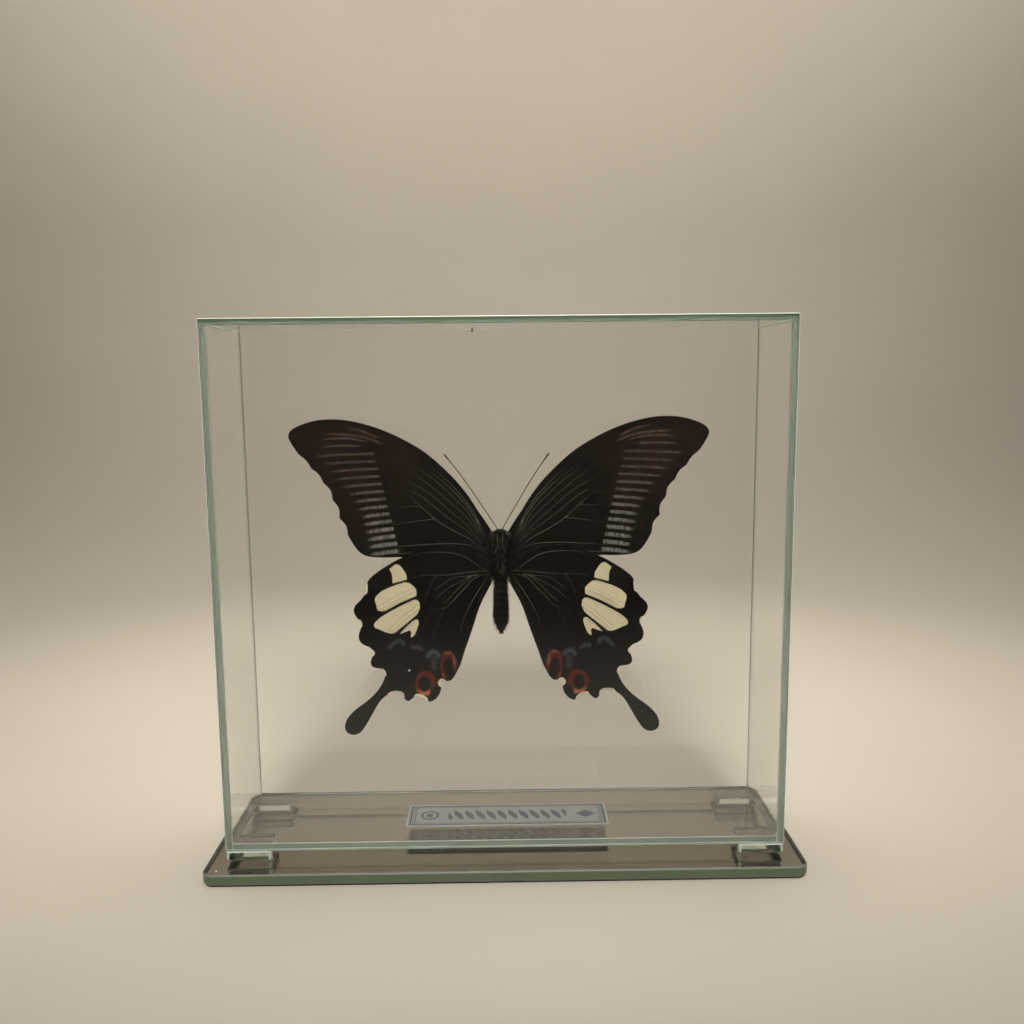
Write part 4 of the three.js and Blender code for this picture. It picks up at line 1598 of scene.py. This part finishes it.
class SPECIMEN_OT_fur(bpy.types.Operator):
    """Grow the hair of the thorax and head, and the tufts at the wings' roots"""

    bl_idname = "specimen.fur"
    bl_label = "Fur"

    def execute(self, context):
        settings = context.scene.specimen_body
        material = fur_finish(settings)
        points, faces = torso_parts(28)
        spine = np.column_stack([np.full(len(points), AXIS_X), np.zeros(len(points))])
        out = points[:, :2] - spine
        out /= np.linalg.norm(out, axis=1)[:, None] + 1e-9
        up = points[:, 2] - THORAX_Z
        aim = np.column_stack([out * 0.75, np.where(up > 4.5, 0.5, -0.55)])
        middle = np.abs(points[:, 0] - AXIS_X) / 1.6
        belly = (points[:, 1] < -1.5).astype(float)
        coat = np.clip(1 - belly * 0.85 * (1 - ease(middle, 0.5, 1.2)), 0.1, 1) * ease(up, -8.3, -7.2)
        skin = make_piece("fur_skin", points, faces, [material], fields={
            "coat": coat, "size": 0.35 + 0.65 * ease(middle, 0.3, 1.6), "light": 0 * coat, "aim": aim,
            "curl": np.tile((0, 0, -1.0), (len(points), 1))})
        density = settings.hairs / MM**2
        tree = bristle_tree("fur", settings.hair, 0.055 * MM, 0.45, 0.25 * MM, 4, density)
        settle(tree.grow("thorax_fur", skin, material), "insect_body")

        rng = np.random.default_rng(21)
        starts, aims, sizes, lights, curls = [], [], [], [], []

        def tuft(centre, spread, aim, hairs, size, light=0.0):
            for _ in range(hairs):
                offset = rng.normal(0, 1, 3) * spread
                starts.append(np.add(centre, offset) + (AXIS_X, 0, THORAX_Z))
                aims.append(np.add(aim, rng.normal(0, 0.22, 3)))
                sizes.append(size * rng.uniform(0.6, 1.0))
                lights.append(light * rng.uniform(0.6, 1.0))
                curls.append((0, 0, -1.0))

        for side in (-1, 1):
            for t in np.linspace(0, 1, 90):  # along the inner edge of the hindwing
                x, z = np.interp(t, (0, 0.3, 0.7, 1), (3.9, 7.3, 11.2, 13.4)), -7.4 - 28.4 * t
                aim = (side * (0.1 - 0.6 * t), -0.1, -1.0)
                tuft((side * (x - 0.05), -0.42, z), (0.16, 0.06, 0.3), aim, 9, 0.95 - 0.35 * t, 0.1)
            for t in np.linspace(0, 1, 22):
                tuft((side * (3.6 + 2.6 * t), -0.75, -6.0 - 7.5 * t), (0.5, 0.08, 0.5),
                     (side * 0.35, -0.16, -1.0), 12, 1.7 - 0.9 * t, 0.12)
            tuft((side * 3.3, -0.9, 2.2), (0.5, 0.4, 1.4), (side * 0.9, -0.35, 0.5), 90, 1.3, 0.1)
            tuft((side * 3.2, -1.0, -2.8), (0.4, 0.4, 1.4), (side * 0.9, -0.3, -0.5), 90, 1.4, 0.1)
            tuft((side * 1.3, -1.1, 7.3), (0.4, 0.4, 0.2), (side * 0.3, -0.2, 0.9), 30, 0.5, 0.1)
            for z in np.linspace(-8, -24, 60):  # short bristles down the abdomen's sides
                half = np.interp(z, (-25.2, -23.6, -22, -20.4, -8.6), (0.5, 1.2, 1.85, 2.3, 1.95))
                tuft((side * half, 0, z), (0.05, 0.7, 0.2), (side * 0.9, -0.1, -0.7), 6, 0.95)
        tuft((2.3, -1.6, -7.2), (0.25, 0.3, 0.4), (0.4, -0.4, -0.8), 60, 1.2, 0.8)
        tuft((-2.6, -1.4, -7.4), (0.3, 0.3, 0.5), (-0.5, -0.4, -0.8), 50, 1.3, 0.5)
        tuft((0.4, -4.5, -4.3), (0.45, 0.15, 0.6), (0.1, -0.5, -0.7), 150, 0.7, 0.9)
        seeds = make_seeds("tuft_points", starts, aim=aims, size=sizes, curl=curls, light=lights)
        tree = bristle_tree("tufts", settings.hair, 0.05 * MM, 0.2, 0.3 * MM, 9)
        settle(tree.grow("root_tufts", seeds, material), "insect_body")
        return {"FINISHED"}


class SPECIMEN_OT_antennae(bpy.types.Operator):
    """Make the ringed antennae with their clubs"""

    bl_idname = "specimen.antennae"
    bl_label = "Antennae"

    def execute(self, context):
        settings = context.scene.specimen_body
        finish = Finish("antenna_horn")
        fine = finish.noise(3.5, 3)
        colour = finish.blend(fine, tone(52, 39, 27), (*settings.horn, 1))
        colour = finish.blend(finish.field("shade"), colour, tone(40, 30, 22))
        finish.shade(Base_Color=colour, Roughness=0.5, Normal=finish.bump(fine, 0.02, 0.5))
        tree = Grower("ringed_tubes", Rings=settings.rings, Groove=0.22, Sides=9)
        curve = tree.node("GeometryNodeMeshToCurve", None, {0: tree.source})
        curve = tree.node("GeometryNodeResampleCurve", None,
                          {"Curve": curve, "Count": tree.given("Rings") * 4 + 1})
        along = tree.node("GeometryNodeSplineParameter", output="Factor") * tree.given("Rings")
        notch = tree.ease(tree.math("PINGPONG", along, 0.5), 0.0, 0.3)
        tree.end(tree.tube(curve, tree.named("girth") * (1.0 - tree.given("Groove") * (1.0 - notch))))
        for name, side in SIDES.items():
            reach = side * ANTENNA_REACH[name]
            line = smooth_line([(reach * x, y, z) for x, y, z in ANTENNA], 0.25)
            away = np.linalg.norm(line - line[-1], axis=1)
            girth = 0.15 + 0.14 * ease(-away, -3.6, -0.9) - 0.2 * ease(-away, -0.45, 0.0)
            girth += 0.1 * (1 - ease(np.linalg.norm(line - line[0], axis=1), 0.6, 1.4))
            shade = ease(-away, -4.5, -2.5) * 0.8
            seeds = line_seeds("antenna_line", [(line + (AXIS_X, 0, THORAX_Z), girth, shade)])
            piece = tree.grow(f"antenna_{name}_rings", seeds, finish.material)
            settle(piece, "insect_horn", f"antenna_{name}")
        return {"FINISHED"}


# ---------------------------------------------------------------- dust
# the plate that dust lies on, the room left at its long edges, the largest grain's radius, and how many
DUST = [("base_glass", 3, 0.06, 220), ("top_pane", 1, 0.05, 120)]


class SPECIMEN_OT_dust(bpy.types.Operator):
    """Scatter fine dust over the base and the case's top, and three larger crumbs"""

    bl_idname = "specimen.dust"
    bl_label = "Dust"

    def execute(self, context):
        finish = Finish("dust")
        colour = finish.blend(finish.noise(2, 2) * 0.6, tone(200, 194, 182), tone(130, 122, 110))
        colour = finish.blend(finish.field("dark"), colour, tone(38, 34, 30))
        colour = finish.blend(0.0 - finish.field("dark"), colour, tone(250, 249, 245))
        finish.shade(Base_Color=colour, Roughness=0.9)
        rng = np.random.default_rng(5)
        spots = []
        for node, inset, largest, grains in DUST:
            low, high = node_box(node)
            spots += [(rng.uniform(low[0] + 3, high[0] - 3), rng.uniform(low[1] + inset, high[1] - inset),
                       high[2] - 0.01, rng.uniform(0.02, largest), 0) for _ in range(grains)]
        ceiling, floor = node_box("top_pane")[0][2], node_box("base_glass")[1][2]
        # the crumbs: place, radius, and how dark (or pale, below 0)
        spots += [(-8.9, 17.75, ceiling - 0.3, 0.36, 1), (-86.2, -25.9, floor - 0.05, 0.34, -0.8),
                  (AXIS_X - 29.15, -0.8, THORAX_Z - 36.7, 0.38, -0.6)]
        spots = np.array(spots)
        seeds = make_seeds("dust_points", spots[:, :3], size=spots[:, 3] * MM, dark=spots[:, 4])
        tree = Grower("crumbs", Seed=3, Roughness=0.35)
        grain = tree.node("GeometryNodeMeshIcoSphere", None, {"Radius": 1.0, "Subdivisions": 1})
        turn = tree.random((0, 0, 0), (6.283, 6.283, 6.283), tree.given("Seed"), "FLOAT_VECTOR")
        made = tree.node("GeometryNodeInstanceOnPoints", None, {
            "Points": tree.source, "Instance": grain, "Rotation": turn, "Scale": tree.named("size")})
        made = tree.node("GeometryNodeRealizeInstances", None, {0: made})
        place = tree.node("GeometryNodeInputPosition")
        lumps = tree.node("ShaderNodeTexNoise", None,
                          {"Vector": place, "Scale": 3500.0, "Detail": 1.0}, "Color")
        lumps = tree.vector("SUBTRACT", lumps, (0.5, 0.5, 0.5))
        push = tree.scale(lumps, tree.named("size") * tree.given("Roughness") * 4)
        tree.end(tree.node("GeometryNodeSetPosition", None, {"Geometry": made, "Offset": push}))
        settle(tree.grow("dust_and_crumbs", seeds, finish.material), "insect_body")
        return {"FINISHED"}


# ---------------------------------------------------------------- add-on
OPERATORS = [SPECIMEN_OT_stage, SPECIMEN_OT_mirror_base, SPECIMEN_OT_glass_case, SPECIMEN_OT_feet,
             SPECIMEN_OT_label, SPECIMEN_OT_support_rod, SPECIMEN_OT_wings, SPECIMEN_OT_veins,
             SPECIMEN_OT_fringe, SPECIMEN_OT_body, SPECIMEN_OT_legs, SPECIMEN_OT_fur,
             SPECIMEN_OT_antennae, SPECIMEN_OT_dust]


class SPECIMEN_PT_panel(bpy.types.Panel):
    """The sizes, colours and makers of the specimen"""

    bl_idname = "SPECIMEN_PT_panel"
    bl_label = "Specimen"
    bl_space_type = "VIEW_3D"
    bl_region_type = "UI"
    bl_category = "Specimen"

    def draw(self, context):
        for key, group in SETTINGS.items():
            box = self.layout.box()
            box.label(text=group.__name__.replace("Settings", ""))
            for name in group.__annotations__:
                box.prop(getattr(context.scene, key), name)
        for operator in OPERATORS:
            self.layout.operator(operator.bl_idname)


CLASSES = [*SETTINGS.values(), *OPERATORS, SPECIMEN_PT_panel]


def register():
    for one in CLASSES:
        bpy.utils.register_class(one)
    for key, group in SETTINGS.items():
        setattr(bpy.types.Scene, key, PointerProperty(type=group))


def unregister():
    for key in SETTINGS:
        delattr(bpy.types.Scene, key)
    for one in reversed(CLASSES):
        bpy.utils.unregister_class(one)


def main():
    register()
    for operator in OPERATORS:
        group, name = operator.bl_idname.split(".")
        getattr(getattr(bpy.ops, group), name)()
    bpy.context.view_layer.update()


if __name__ == "__main__":
    main()
